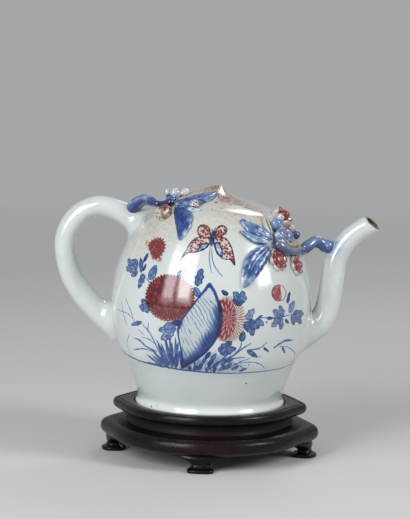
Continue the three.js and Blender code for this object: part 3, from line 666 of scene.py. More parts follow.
def paint_lines(front, along, only_front):
    """Strokes in layers, in which they stay clear of each other: distance and half width."""
    layers = np.zeros((LINE_LAYERS, len(front), 2))
    layers[..., 0], layers[..., 1] = FAR_AWAY, NOWHERE
    taken = np.zeros((LINE_LAYERS, len(front)), bool)
    for motif, half, front_alone in line_motifs:
        index, flat = motif.near(only_front if front_alone else front, along)
        if not len(index):
            continue
        distance, share, past = to_path(flat, motif.points)
        width = half * (1 - STROKE_TAPER * np.abs(2 * share - 1) ** 3) - past
        clear = np.hypot(distance, past) < LINE_CLEARANCE
        index, distance, width, past = index[clear], distance[clear], width[clear], past[clear]
        layer = int(np.argmin([taken[k, index].any() for k in range(LINE_LAYERS)]))
        drawn = np.hypot(distance, past) < LINE_REACH
        taken[layer, index] = True
        before = layers[layer, index]
        stronger = drawn & (width - np.abs(distance) > before[:, 1] - np.abs(before[:, 0]))
        layers[layer, index[stronger]] = np.column_stack([distance, width])[stronger]
    return layers


LOBE_DEPTH = 0.3


def paint_leaves(front, along):
    """Distance inside the leaf, share of its length, share of its half width, depth of the blue."""
    values = np.tile([NOWHERE, 0.5, 0.5, 0.0], (len(front), 1))
    for motif, half, depth, lobes in leaf_motifs:
        index, flat = motif.near(front, along)
        base, tip = motif.points
        length = np.linalg.norm(tip - base)
        ahead = (tip - base) / length
        share = (flat - base) @ ahead / length
        across = (flat - base) @ np.array([-ahead[1], ahead[0]])
        held = np.clip(share, 0, 1)
        reach = half * np.sin(math.pi * held ** 0.8) ** 0.6
        if lobes:
            reach *= 1 - LOBE_DEPTH * (0.5 + 0.5 * np.cos(2 * math.pi * lobes * held + np.sign(across)))
        depth_inside = (reach - np.abs(across)) * 0.92 - np.abs(share - held) * length
        better = depth_inside > values[index, 0]
        values[index[better]] = np.column_stack(
            [depth_inside, share, across / half, np.full(len(index), depth)])[better]
    values[:, 0] = np.maximum(values[:, 0], NOWHERE)
    return values


def paint_flowers(front, along):
    """Place in the flower as shares of its half width and height, its kind, and the share out to its edge."""
    values = np.tile([FAR_AWAY, FAR_AWAY, 0.0, FAR_AWAY], (len(front), 1))
    for motif, wide, high, kind in flower_motifs:
        index, flat = motif.near(front, along)
        x, y = flat[:, 0] / wide, flat[:, 1] / high
        near = np.hypot(x, y) < FLOWER_NEAR
        values[index[near]] = np.column_stack([x, y, np.full(len(x), kind), np.hypot(x, y)])[near]
    return values


def paint_rock(front, along):
    """Distance inside the rock and in its outline's stroke, place across the hatching, depth of the wash."""
    values = np.tile([NOWHERE, NOWHERE, 0.0, 0.0], (len(front), 1))
    index, flat = rock_motif.near(front, along)
    depth = inside(flat, rock_motif.points)
    thick = ROCK_LINE + sum(more * np.exp(-np.sum((flat - place) ** 2, axis=1) / reach ** 2)
                            for place, (_, reach, more) in zip(rock_thick, ROCK_THICK))
    hatch = flat @ np.array(ROCK_HATCH) + HATCH_BEND * flat[:, 1] ** 2
    wash = 0
    for path, reach in ((rock_edge, SIDE_WASH), (rock_foot, FOOT_WASH)):
        distance, _, past = to_path(flat, path)
        wash = wash + np.exp(-(np.hypot(distance, past) / reach) ** 1.3)
    values[index] = np.column_stack([np.maximum(depth, NOWHERE), thick - np.abs(depth - 0.1), hatch, wash])
    return values


def paint_butterfly(front, along):
    """Distance inside a wing, and inside a wing's inner lobe."""
    values = np.full((len(front), 2), NOWHERE)
    for column, motifs in enumerate((wing_motifs, lobe_motifs)):
        for motif in motifs:
            index, flat = motif.near(front, along)
            values[index, column] = np.maximum(values[index, column], inside(flat, motif.points))
    return values


def paint_washes(front, along):
    """Blue wash, height above the ring round the foot, and angle from the middle of the front."""
    blue = np.zeros(len(front))
    for motif, size, strength in wash_motifs:
        index, flat = motif.near(front, along)
        blue[index] += strength * np.exp(-np.sum(flat ** 2, axis=1) / size ** 2)
    above = along - np.interp(front, *ground_marks.T)
    return np.column_stack([blue, np.clip(above, -HIGHEST, HIGHEST), front])


def paint_blots(place):
    """Red blots, brown blots that are partly painted shade, and distance inside a speck, in millimetres."""
    values = np.zeros((len(place), 3))
    for mark, (_, size, red, brown) in zip(blot_marks, BLOTS):
        share = np.exp(-np.sum((place - mark) ** 2, axis=1) / size ** 2)
        values[:, 0] += red * share
        values[:, 1] += brown * share
    values[:, 2] = NOWHERE
    for mark, (_, _, size) in zip(speck_marks, SPECKS):
        values[:, 2] = np.maximum(values[:, 2], size - np.linalg.norm(place - mark, axis=1))
    return values


BACK_TURN = math.radians(9)


def paint(front, along, place):
    """What is painted at each vertex. The back repeats the front mirrored, without the rock and butterfly."""
    back = np.abs(front) > math.pi / 2
    mirrored = np.sign(front) * (math.pi - np.abs(front)) + BACK_TURN
    shared = np.where(back, mirrored, front)
    only_front = np.where(back, ELSEWHERE, front)
    lines = paint_lines(shared, along, only_front)
    return {
        "lines_a": np.column_stack([lines[0], lines[1]]), "lines_b": np.column_stack([lines[2], lines[3]]),
        "leaves": paint_leaves(shared, along), "flowers": paint_flowers(shared, along),
        "rock": paint_rock(only_front, along), "butterfly": paint_butterfly(only_front, along),
        "wash": paint_washes(shared, along), "blots": paint_blots(place),
    }


# Body shells

COLUMNS = 640
INNER_COLUMNS = 160
# Height from which on the body is painted
PAINT_LOW = 27
SEAM_LIP = 0.05
# Columns near the pole: least radius, and how many
POLE_COLUMNS = [(20, 640), (8, 320), (3, 160), (0, 80)]
BARE_ROWS, LOWER_ROWS, LOWER_INNER_ROWS = 30, 76, 14
CHEST_ROWS, CROWN_ROWS, UPPER_INNER_ROWS = 104, 88, 24
INNER_POLE_GAP = 6
FOOT_SOFTNESS = 1.1
TUBE_COLUMNS = 96
# Length up the outline that stands for a place without painting
UNPAINTED = -100.0


def turns(count):
    return np.arange(count) * 2 * math.pi / count


def round_ring(radius, height, columns=COLUMNS):
    angle = turns(columns)
    return np.column_stack([radius * np.cos(angle), radius * np.sin(angle), np.full(columns, float(height))])


def skin_rings(alongs):
    """Rings of the outside, with fewer columns near the pole."""
    rings = []
    for along in alongs:
        radius = np.interp(along, OUT_ALONG, OUT_RADIUS)
        columns = next(columns for least, columns in POLE_COLUMNS if radius >= least)
        rings.append(skin(turns(columns), along) if radius > 0.05 else skin(np.zeros(1), along))
    return rings


def inner_rings(alongs):
    return [skin(turns(INNER_COLUMNS), along, -WALL) for along in alongs]


def painted_mesh(name, rings, closed, outer):
    """The rings whose index is in outer take part in the painting."""
    points = np.vstack(rings)
    counts = [len(ring) for ring in rings]
    is_outer = np.repeat([k in outer for k in range(len(rings))], counts)
    front, along = np.full(len(points), math.pi), np.full(len(points), UNPAINTED)
    place = points[is_outer]
    front[is_outer] = np.arctan2(place[:, 0], -place[:, 1])
    along[is_outer] = nearest(place)[3]
    return rings_to_mesh(name, rings, closed=closed, values=paint(front, along, points))


def body_lower():
    ring_inner = FOOT_RADIUS - FOOT_RING_WIDTH
    soft = FOOT_SOFTNESS
    foot = [(ring_inner, soft), (ring_inner + 0.3 * soft, 0.3 * soft), (ring_inner + soft, 0),
            (FOOT_RADIUS - soft, 0), (FOOT_RADIUS - 0.3 * soft, 0.3 * soft), (FOOT_RADIUS, soft)]
    low = along_at(PAINT_LOW)
    painted = np.linspace(low, SEAM_ALONG - SEAM_LIP, LOWER_ROWS)
    rows = np.r_[np.linspace(0, low, BARE_ROWS)[:-1], painted, SEAM_ALONG]
    inner_wall = inner_rings(np.linspace(SEAM_ALONG, along_at(BASE_TOP + WALL), LOWER_INNER_ROWS))
    floor_radius = np.hypot(*inner_wall[-1][0, :2]) - WALL / 2
    base = [(floor_radius, BASE_TOP), (FILLING_HOLE_RADIUS, BASE_TOP), (FILLING_HOLE_RADIUS, FOOT_RECESS),
            (ring_inner, FOOT_RECESS)]
    rings = [round_ring(*at) for at in foot] + skin_rings(rows) + inner_wall
    rings += [round_ring(*at, INNER_COLUMNS) for at in base]
    outer = range(len(foot), len(foot) + len(rows))
    return painted_mesh("body_lower_shell", rings, True, outer)


def body_upper():
    crown = along_at(SHOULDER_HEIGHT)
    rows = np.r_[SEAM_ALONG, np.linspace(SEAM_ALONG + SEAM_LIP, crown, CHEST_ROWS),
                 np.linspace(crown, OUT_LENGTH, CROWN_ROWS)[1:]]
    inner = inner_rings(np.linspace(OUT_LENGTH - INNER_POLE_GAP, SEAM_ALONG, UPPER_INNER_ROWS))
    inner_pole = skin(np.zeros(1), OUT_LENGTH, -WALL)
    rings = [inner_pole, *inner, *skin_rings(rows)]
    return painted_mesh("body_upper_shell", rings, False, range(len(inner) + 1, len(rings)))


def filling_tube():
    bottom = BASE_TOP + LUTE_GAP
    low, high = FILLING_HOLE_RADIUS + TUBE_WALL, TUBE_TOP_RADIUS + TUBE_WALL
    flange, edge = low + TUBE_FLANGE, 0.7
    profile = [(FILLING_HOLE_RADIUS, bottom), (flange, bottom), (flange, bottom + 0.8),
               (flange - 0.6, bottom + 1.4), (low + 1, bottom + TUBE_FLANGE_HEIGHT),
               (low, bottom + TUBE_FLANGE_HEIGHT + 1.5),
               (high, TUBE_TOP_HEIGHT - edge), (high - edge, TUBE_TOP_HEIGHT),
               (TUBE_TOP_RADIUS + edge, TUBE_TOP_HEIGHT), (TUBE_TOP_RADIUS, TUBE_TOP_HEIGHT - edge)]
    rings = [round_ring(*at, TUBE_COLUMNS) for at in profile]
    return rings_to_mesh("filling_tube_wall", rings, closed=True)


# Handle and spout

PIPE_COLUMNS = 72
# How deep the ends of handle and spout are pressed into the body
END_SINK = 0.6


class Line:
    """A smooth line through points, read by the share of its length."""

    def __init__(self, points, steps=2000):
        self.points = curve(points, steps + 1)
        self.length = length_of(self.points)
        self.share = np.linspace(0, 1, steps + 1)
        self.slope = np.gradient(self.points, axis=0)

    def at(self, share):
        return np.stack([np.interp(share, self.share, axis) for axis in self.points.T], axis=-1)

    def towards(self, share):
        return unit(np.stack([np.interp(share, self.share, axis) for axis in self.slope.T], axis=-1))


def tube(line, share, angle, size_at, across=(0, 1, 0)):
    """Points round a line. size_at gives the half sizes in the curve's own plane and across it."""
    share = np.broadcast_to(share, np.broadcast_shapes(np.shape(share), np.shape(angle)))
    ahead = line.towards(share)
    side = unit(across - (ahead @ np.asarray(across, float))[..., None] * ahead)
    up = np.cross(ahead, side)
    in_plane, sideways = (np.asarray(size)[..., None] for size in size_at(share))
    upwards, aside = up * in_plane * np.cos(angle)[..., None], side * sideways * np.sin(angle)[..., None]
    return line.at(share) + upwards + aside


SHARES_TRIED = 601


def first_share(line, angle, size_at, is_past, backwards=False):
    """For each line along a tube, the share at which a measure first turns positive."""
    fine = np.linspace(0, 1, SHARES_TRIED)[::-1 if backwards else 1]
    measure = is_past(tube(line, fine[:, None], angle, size_at))
    after = np.maximum(np.argmax(measure > 0, axis=0), 1)
    columns = np.arange(len(angle))
    low, high = measure[after - 1, columns], measure[after, columns]
    part = np.clip(low / np.minimum(low - high, -1e-9), 0, 1)
    return fine[after - 1] + (fine[after] - fine[after - 1]) * part


def filleted(points, middles, fillet):
    """Near the body the points spread out on it in a round of this radius."""
    out = np.maximum(nearest(points)[2], 0)
    near = np.clip(fillet - out, 0, fillet)
    moved = points + unit(points - middles) * (fillet - np.sqrt(fillet ** 2 - near ** 2))[..., None]
    _, normal, now, _ = nearest(moved)
    return np.where((out < fillet)[..., None], moved + normal * (out - now)[..., None], moved)


def sunk(points, depth):
    return points - nearest(points)[1] * depth


HANDLE_HALF = (6.45, 7.2)
HANDLE_HEEL, HANDLE_FLARE = 0.9, 1.6
HANDLE_FILLET = (6.5, 8.5)
HANDLE_ROWS = 150
# Places beyond the belly, and heights
HANDLE_PATH = [(-19.3, 111), (-4.7, 119.6), (8.3, 122.7), (21.8, 117), (30, 102), (26.4, 79.7),
               (12.5, 60.3), (-5.7, 45)]
handle_line = Line([(-BELLY_RADIUS - beyond, 0, height) for beyond, height in HANDLE_PATH])


def handle_size(share):
    heel = HANDLE_HEEL * smooth(share, 0.55, 0.8)
    flare = HANDLE_FLARE * (np.exp(-(share / 0.1) ** 2) + np.exp(-((1 - share) / 0.09) ** 2))
    return HANDLE_HALF[0] + heel + flare, HANDLE_HALF[1] + flare


def out_of_body(points):
    return nearest(points)[2]


def even_ends(count, crowding):
    """Shares from 0 to 1 that crowd towards both ends."""
    share = np.linspace(0, 1, count)
    return share - crowding * np.sin(2 * math.pi * share) / (2 * math.pi)


def handle():
    angle = turns(PIPE_COLUMNS)
    first = first_share(handle_line, angle, handle_size, out_of_body)
    last = first_share(handle_line, angle, handle_size, out_of_body, backwards=True)
    share = first + (last - first) * even_ends(HANDLE_ROWS, 0.8)[:, None]
    fillet = HANDLE_FILLET[0] + (HANDLE_FILLET[1] - HANDLE_FILLET[0]) * smooth(share, 0.6, 0.95)
    points = filleted(tube(handle_line, share, angle, handle_size), handle_line.at(share), fillet)
    rings = [sunk(points[0], END_SINK), *points, sunk(points[-1], END_SINK)]
    return rings_to_mesh("handle_loop", rings)


SPOUT_ROOT, SPOUT_STEM, SPOUT_MOUTH, SPOUT_WALL = 11.6, 7.3, 6.1, 2.1
SPOUT_MOUTH_TILT, SPOUT_MOUTH_TURN = math.radians(48.5), math.radians(10)
SPOUT_LIP, SPOUT_FILLET = 1.5, 5
SPOUT_ROWS, BORE_ROWS = 130, 50
# The clay darkens within this distance of the mouth, and a smear of blue lies round the branch's root
RIM_BLUSH, ROOT_SMEAR = 2.2, 5.6
SPOUT_PATH = [(-10.7, 46), (0, 50.3), (4.5, 53), (8, 59.5), (10.6, 70), (12.7, 86.5), (14, 94.4),
              (18.3, 102.5), (25.6, 110.3), (36.1, 117)]
spout_points = np.array([(BELLY_RADIUS + beyond, 0, height) for beyond, height in SPOUT_PATH])
mouth_place = spout_points[-1]
spout_line = Line([*spout_points, mouth_place + 1.6 * SPOUT_MOUTH * unit(mouth_place - spout_points[-2])])
BRANCH_ROOT = spout_line.at(0.66) + (-4.9, -3.3, 0.6)
mouth_normal = np.array([cos(SPOUT_MOUTH_TILT) * cos(SPOUT_MOUTH_TURN), -sin(SPOUT_MOUTH_TURN),
                         sin(SPOUT_MOUTH_TILT) * cos(SPOUT_MOUTH_TURN)])


def spout_size(share):
    radius = SPOUT_STEM + (SPOUT_MOUTH - SPOUT_STEM) * smooth(share, 0.5, 0.8)
    radius = radius + (SPOUT_ROOT - SPOUT_STEM) * np.exp(-(share / 0.13) ** 2)
    return radius, radius


def bore_size(share):
    radius = np.minimum(spout_size(share)[0], SPOUT_STEM) - SPOUT_WALL
    return radius, radius


def past_mouth(points):
    return (points - mouth_place) @ mouth_normal


def spout():
    angle, lip = turns(PIPE_COLUMNS), SPOUT_LIP
    first = first_share(spout_line, angle, spout_size, out_of_body)
    last = first_share(spout_line, angle, spout_size, past_mouth)
    share = first + (last - first) * even_ends(SPOUT_ROWS, 0.7)[:, None]
    outer = filleted(tube(spout_line, share, angle, spout_size), spout_line.at(share), SPOUT_FILLET)
    bore_last = first_share(spout_line, angle, bore_size, past_mouth)
    bore_first = first_share(spout_line, angle, bore_size, out_of_body)
    bore_share = bore_last + (bore_first - bore_last) * np.linspace(0, 1, BORE_ROWS)[:, None]
    bore = tube(spout_line, bore_share, angle, bore_size)
    inward = unit(mouth_place - outer[-1])
    rim = [outer[-1] + inward * inset - mouth_normal * drop
           for inset, drop in ((0.08 * lip, 0.6 * lip), (0.3 * lip, 0.25 * lip), (lip, 0))]
    inner_rim = [bore[0] - inward * step - mouth_normal * drop for step, drop in ((0.5, 0), (0.1, 0.2))]
    keep = past_mouth(outer).max(axis=1) < -lip
    far = past_mouth(bore).max(axis=1) < -0.5
    rings = [sunk(outer[0], END_SINK), *outer[keep], *rim, *inner_rim, *bore[far], sunk(bore[-1], END_SINK)]
    closeness = np.concatenate([np.exp(past_mouth(ring) / RIM_BLUSH) for ring in rings])
    in_bore = np.repeat(np.arange(len(rings)) > len(rings) - far.sum() - 3, len(angle))
    smear = np.exp(-(np.linalg.norm(np.vstack(rings) - BRANCH_ROOT, axis=1) / ROOT_SMEAR) ** 2)
    return rings_to_mesh("spout_pipe", rings, closed=True,
                         values={"rim": np.column_stack([closeness, in_bore, smear])})


# Sprays

LEAF_THICKNESS, LEAF_EDGE, LEAF_RISE = 1.9, 0.7, 1.4
LEAF_STALK, LEAF_LOBES, LEAF_GROOVE, LEAF_RIB = 0.16, 5, 0.55, 0.07
LEAF_ROWS, LEAF_COLUMNS = 60, 29
TWIG_ROWS, TWIG_COLUMNS = 150, 32
TWIG_TIP, TWIG_HEAD, BULB_LENGTH = 2.4, 3.2, 5
BUD_ROWS, BUD_COLUMNS = 23, 40
BUD_SINK, BUD_POINT = 0.75, 0.07
PETAL_ROWS, PETAL_COLUMNS = 34, 96
PETAL_HEIGHT = 1.9


def twig(name, root, radius, taper, spots, start=None, arch=(), knots=(), bulb=1.2):
    """A twig that lies on the body, and may reach it from a start in the air over a free arch. Knots are
    given by their share of the length, height and width."""
    points = [spot(*at, lift=radius + LUTE_GAP)[0] for at in spots]
    if start is not None:
        free = [start + share * (points[0] - start) + (0, swing, rise) for share, rise, swing in arch]
        points = [start, *free, *points]
    line = Line(points)
    lengthways = line.length

    def size(share):
        knot = sum(height * np.exp(-((share - at) * lengthways / wide) ** 2) for at, height, wide in knots)
        thick = root + (radius - root) * smooth(share, *taper) + knot
        thick = thick * (1 + 0.04 * np.sin(share * lengthways / 1.9) * np.sin(share * lengthways / 4.3 + 1))
        tip = np.clip(np.minimum((1 - share) / TWIG_TIP, share / TWIG_HEAD) * lengthways, 0, 1)
        swell = bulb * np.exp(-(share * lengthways / BULB_LENGTH) ** 2) if start is not None else 0
        thick = (thick + swell) * np.sqrt(1 - (1 - tip) ** 2 + 1e-4)
        return thick, thick

    share = 1 - (1 - np.linspace(0, 1, TWIG_ROWS)) ** 1.15
    angle = turns(TWIG_COLUMNS)
    across = unit(np.array([0.3, 0.5, 0.8]))
    points = tube(line, share[:, None], angle, size, across=across)
    upward = unit(points - line.at(share)[:, None])[..., 2]
    numbers = np.column_stack([np.repeat(share, len(angle)), upward.ravel()])
    return rings_to_mesh(name, list(points), values={"twig_form": numbers})


def leaf(name, spots, width):
    """A leaf that follows the body. It is drawn in to a stalk and a point, with a groove and side veins."""
    line = Line([spot(*at)[0] for at in spots])
    along = np.linspace(0, 1, LEAF_ROWS)
    across = np.sin(np.linspace(-math.pi / 2, math.pi / 2, LEAF_COLUMNS))
    place, normal, _, _ = nearest(line.at(along))
    side = unit(np.cross(normal, line.towards(along)))
    lobe = np.abs(np.sin(along[:, None] * math.pi * LEAF_LOBES + 0.5 * np.sign(across)))
    wave = 1 + 0.06 * lobe - 0.035
    half = width / 2 * (LEAF_STALK + (1 - LEAF_STALK) * np.sin(math.pi * along ** 0.85) ** 0.8)
    lift = LUTE_GAP + LEAF_RISE * (1 - along) ** 2
    body = (LEAF_THICKNESS - LEAF_EDGE) * np.sin(math.pi * (0.15 + 0.7 * along))
    grid = place[:, None] + side[:, None] * (half[:, None] * across * wave)[..., None]
    away = np.abs(across)
    groove = LEAF_GROOVE * np.exp(-(across / 0.2) ** 2)
    between = np.clip(away * (1 - away) * 4, 0, 1)
    rib = LEAF_RIB * np.cos(2 * math.pi * (along[:, None] * 5 - away * 0.9)) * between
    swell = 1 - away ** 4 - groove + rib + 0.45 * (np.clip(away - 0.3, 0, 1) * (1 - away) * 4)
    upper = seat(grid, lift[:, None] + LEAF_EDGE + body[:, None] * swell)
    lower = seat(grid, lift[:, None] - 0.25 + 0 * across)
    rings = [np.vstack([below, above[::-1]]) for below, above in zip(lower, upper)]
    shares = np.broadcast_to(along[:, None], (LEAF_ROWS, 2 * LEAF_COLUMNS)).ravel()
    sides = np.tile(np.r_[across, across[::-1]], LEAF_ROWS)
    return rings_to_mesh(name, rings, values={"leaf_form": np.column_stack([shares, sides])}, sharp=60)


def bud(name, at, radius, tall):
    """A closed bud that is pressed onto the body, a little pointed, with the folds of its petals."""
    place, normal = spot(*at, lift=radius * tall * BUD_SINK + LUTE_GAP)
    side = unit(np.cross([0, 0, 1], normal))
    up = np.cross(normal, side)
    angle = turns(BUD_COLUMNS)
    rings, numbers = [np.array([place - normal * radius * tall])], [(-1, 0, 0)]
    for row in np.linspace(-math.pi / 2, math.pi / 2, BUD_ROWS + 2)[1:-1]:
        point = 1 + BUD_POINT * np.clip(sin(row), 0, 1) ** 4
        fold = 1 - 0.05 * np.abs(np.cos(1.5 * angle + 2 * row)) * cos(row)
        wide, high = radius * cos(row) * fold, radius * tall * sin(row) * point
        rings.append(place + side * (wide * np.cos(angle))[:, None] + up * (wide * np.sin(angle))[:, None]
                     + normal * high)
        numbers += [(sin(row), cos(row) * cos(a), cos(row) * sin(a)) for a in angle]
    rings.append(np.array([place + normal * radius * tall * (1 + BUD_POINT)]))
    numbers.append((1, 0, 0))
    return rings_to_mesh(name, rings, values={"bud_form": np.array(numbers)})


# From the edge to the middle of a flower: share of its radius, and of its height
FLOWER_PROFILE = [(0.5, -0.3), (1, -0.25), (1.04, 0.3), (1.0, 0.72), (0.9, 0.98), (0.78, 1.02), (0.6, 0.86),
                  (0.5, 0.75), (0.42, 0.95), (0.36, 1.2), (0.26, 1.34), (0.14, 1.4), (0.04, 1.42)]


def relief_flower(name, at, radius, tall, petals):
    place, normal = spot(*at)
    side = unit(np.cross([0, 0, 1], normal))
    up = np.cross(normal, side)
    angle = turns(PETAL_COLUMNS)
    notch = (1 - np.cos(petals * angle)) / 2
    rings, numbers = [], []
    for share, height in curve(FLOWER_PROFILE, PETAL_ROWS):
        reach = radius * share * (1 - 0.16 * notch ** 3 * smooth(share, 0.4, 0.9))
        lay = place + side * (reach * np.cos(angle))[:, None] + up * (reach * np.sin(angle))[:, None]
        dip = 0.45 * notch ** 4 * smooth(share, 0.35, 0.6) * (height > 0.2)
        rings.append(seat(lay, LUTE_GAP + (height - dip) * PETAL_HEIGHT * tall))
        numbers += [(share, cos(a), sin(a)) for a in angle]
    return rings_to_mesh(name, rings, values={"flower_form": np.array(numbers)}, sharp=60)


def on_back(spots, drop):
    """The same places mirrored to the back, and a little lower."""
    return [(-azimuth, share + drop) for azimuth, share in spots]


# Stand

STAND_HEIGHT, TRAY_THICKNESS, WAIST_HEIGHT, APRON_THICKNESS = 33.5, 6.5, 6, 11
STAND_FOOT_HEIGHT = STAND_HEIGHT - TRAY_THICKNESS - WAIST_HEIGHT - APRON_THICKNESS
TRAY = (55.7, 5.3)
WAIST = (50.2, 2.4)
APRON = (63, 5.8)
RECESS_RADIUS, RECESS_DEPTH = FOOT_RADIUS + 0.7, 2.5
EAR_HALF_ANGLE, EAR_SHARPNESS, EAR_TIP_ROUNDING = 30, 2.5, 2.5
BOARD_SIDES = 360


def board_radius(angle, radius, ear):
    from_ear = np.degrees(np.abs(np.arcsin(np.sin(angle))))
    far = math.hypot(EAR_HALF_ANGLE, EAR_TIP_ROUNDING) - EAR_TIP_ROUNDING
    share = np.clip(1 - (np.hypot(from_ear, EAR_TIP_ROUNDING) - EAR_TIP_ROUNDING) / far, 0, 1)
    return radius + ear * share ** EAR_SHARPNESS


def board(node, kind, material, size, low, thickness, edge, top=()):
    """A board with a moulded edge: steps outwards and shares of the thickness. Its top may have round
    rings: radius and height."""
    angle = turns(BOARD_SIDES)
    reach = board_radius(angle, *size)
    rings = []
    for offset, share in edge:
        rings.append(np.column_stack([(reach + offset) * np.cos(angle), (reach + offset) * np.sin(angle),
                                      np.full(BOARD_SIDES, low + share * thickness)]))
    rings += [round_ring(radius, height, BOARD_SIDES) for radius, height in top]
    fit(rings_to_mesh(f"{node}_{kind}", rings, STAND_ORIGIN, sharp=50), node, material, "stand")


def stand_boards(material):
    apron_low = STAND_FOOT_HEIGHT
    waist_low = apron_low + APRON_THICKNESS
    tray_low = waist_low + WAIST_HEIGHT
    tray_edge = curve([(-4.4, 0), (-2, 0.06), (-0.5, 0.25), (0, 0.5), (-0.3, 0.75), (-1, 0.93),
                       (-1.9, 1)], 26)
    groove = [(-2.6, 1), (-2.9, 0.93), (-3.5, 0.91), (-4.1, 0.93), (-4.4, 1)]
    recess = [(RECESS_RADIUS + 0.8, STAND_HEIGHT), (RECESS_RADIUS + 0.2, STAND_HEIGHT - 0.2),
              (RECESS_RADIUS, STAND_HEIGHT - 0.8), (RECESS_RADIUS, STAND_HEIGHT - RECESS_DEPTH)]
    board("stand_tray", "board", material, TRAY, tray_low, TRAY_THICKNESS, [*tray_edge, *groove], recess)
    waist_edge = curve([(0.5, 0), (-0.3, 0.25), (-0.5, 0.6), (0, 1)], 12)
    board("stand_waist", "band", material, WAIST, waist_low, WAIST_HEIGHT, waist_edge)
    apron_edge = curve([(-5, 0), (-2.6, 0.08), (-0.8, 0.24), (0, 0.45), (-0.4, 0.66), (-1.9, 0.84),
                        (-4.4, 0.96), (-7.5, 1)], 36)
    board("stand_apron", "board", material, APRON, apron_low, APRON_THICKNESS, apron_edge)


# Half width and depth of a foot's pad and neck, the pad's thickness, and how far the neck is set back
FOOT_PAD, FOOT_NECK = (8.8, 13), (6.2, 7.6)
PAD_THICKNESS, NECK_SET_BACK = 1.8, 3.2
FOOT_TOP_HALF = 23
FOOT_SET_BACK = 0.9
SQUARENESS = 0.55
FOOT_COLUMNS, FOOT_ROWS = 72, 40


def stand_foot(name, turn, ear, material):
    """A foot with a broad pad and toe, a drawn-in neck and a top that spreads along the apron's edge."""
    (pad_half, pad_depth), (neck_half, neck_depth) = FOOT_PAD, FOOT_NECK
    pad_thick, set_back = PAD_THICKNESS, NECK_SET_BACK
    outer = APRON[0] + ear - FOOT_SET_BACK
    slices = curve([
        (0.35, 0, pad_half - 0.35, pad_depth - 0.7), (0, 0.4, pad_half, pad_depth),
        (0, pad_thick, pad_half, pad_depth),
        (set_back * 0.6, pad_thick + 0.9, pad_half - 1.6, pad_depth - 3.4),
        (set_back, STAND_FOOT_HEIGHT * 0.45, neck_half, neck_depth),
        (set_back * 0.9, STAND_FOOT_HEIGHT * 0.66, neck_half + 3, pad_depth - 4),
        (set_back * 0.8, STAND_FOOT_HEIGHT * 0.84, (neck_half + FOOT_TOP_HALF) / 2, pad_depth - 2),
        (set_back, STAND_FOOT_HEIGHT, FOOT_TOP_HALF, pad_depth),
    ], FOOT_ROWS)
    angle = turns(FOOT_COLUMNS)
    square = [np.sign(value) * np.abs(value) ** SQUARENESS for value in (np.cos(angle), np.sin(angle))]
    rings = []
    for back, height, half, depth in slices:
        outwards, sideways = outer - back - depth / 2 + depth / 2 * square[0], half * square[1]
        height = min(max(height, 0), STAND_FOOT_HEIGHT)
        bearing = turn + sideways / outer
        radius = outwards - APRON[0] - ear + board_radius(bearing, APRON[0], APRON[1])
        rings.append(np.column_stack([radius * np.cos(bearing), radius * np.sin(bearing),
                                      np.full(len(angle), height)]))
    fit(rings_to_mesh(name + "_block", rings, STAND_ORIGIN, sharp=50), name, material, "stand")


# Surfaces of the pot and its stand

GLAZE = (0.605, 0.648, 0.638)
BLUE_SOAK = (3.4, 2.35, 1.0)
RED_SOAK = (1.15, 3.5, 3.2)
BROWN_SOAK = (0.9, 1.5, 2.6)
BARE_CLAY = (0.24, 0.17, 0.1)
BISCUIT = (0.48, 0.38, 0.25)
WOOD_DARK, WOOD_RED = (0.003, 0.0026, 0.003), (0.02, 0.005, 0.005)
GLAZE_ROUGHNESS, RELIEF_ROUGHNESS, GLAZE_COAT = 0.2, 0.16, 0.8


def glazed(blue=0.0, red=0.0, brown=0.0, ground=GLAZE):
    """Pigments under the glaze soak up its light, each in its own way."""
    channels = []
    for base, *soaks in zip(ground, BLUE_SOAK, RED_SOAK, BROWN_SOAK):
        dark = sum(amount * soak for amount, soak in zip((blue, red, brown), soaks))
        level = (dark * -1).math("EXPONENT") if isinstance(dark, Field) else math.exp(-dark)
        channels.append(level * base)
    return channels


def glaze_ground(surface):
    """The glaze is a little uneven in tone, from blue-grey to a warmer grey."""
    cloud = surface.noise(38, 3)
    fine = surface.noise(2.4, 3)
    tone = (cloud - 0.5) * 0.16 + (fine - 0.5) * 0.05
    red, green, blue = GLAZE
    return (tone * 0.9 + 1) * red, (tone * 0.5 + 1) * green, (tone * 0.3 + 1) * blue


def skirt_shade_and_foot_light(surface, channels):
    """Painted shade makes the skirt greyer, and painted light makes the foot paler."""
    height = surface.places()[2]
    low, high = STAND_SEAT + 7, STAND_SEAT + 13
    grey = height.step(low, high) * height.step(STAND_SEAT + 38, STAND_SEAT + 20)
    # Paler foot and greyer skirt: painted light and painted shade
    tone = height.step(high - 2, low - 2) * 0.22 - grey * 0.1 + 1
    return [channel * tone for channel in channels]


def glaze_wave(surface):
    """Slow unevenness of the glazed surface, in millimetres."""
    return surface.noise(14, 2) * 0.32 + surface.noise(3.2, 1) * 0.022


def plain_glaze_surface(name="glaze_plain", rim=False):
    surface = Surface(name, GLAZE_ROUGHNESS, coat=GLAZE_COAT)
    cloud = surface.noise(26, 3)
    blue = (surface.noise(9, 2) - 0.5).most(0) * 0.12
    stain = surface.noise(13, 4, stretch=(1, 1, 0.6)).step(0.55, 0.8) * 0.09
    rough = cloud * 0.05 + 0.07
    if rim:
        near, in_bore, smear, _ = surface.values("rim")
        blue = blue + smear * surface.noise(2.5, 2).step(0.2, 0.7) * 0.42
    channels = glazed(blue, 0.0, stain, glaze_ground(surface))
    if rim:
        bare = (near + (surface.noise(1.8, 3) - 0.5) * 0.3).step(0.78, 0.92).most(in_bore)
        speck = (surface.noise(0.8, 2).step(0.4, 0.7) * 0.6 + 0.6) * (in_bore * -0.6 + 1)
        channels = [channel * (1 - bare) + bare * speck * tone for channel, tone in zip(channels, BARE_CLAY)]
        rough = rough + bare * 0.4
    surface.rough(rough)
    return surface.painted(channels, glaze_wave(surface))


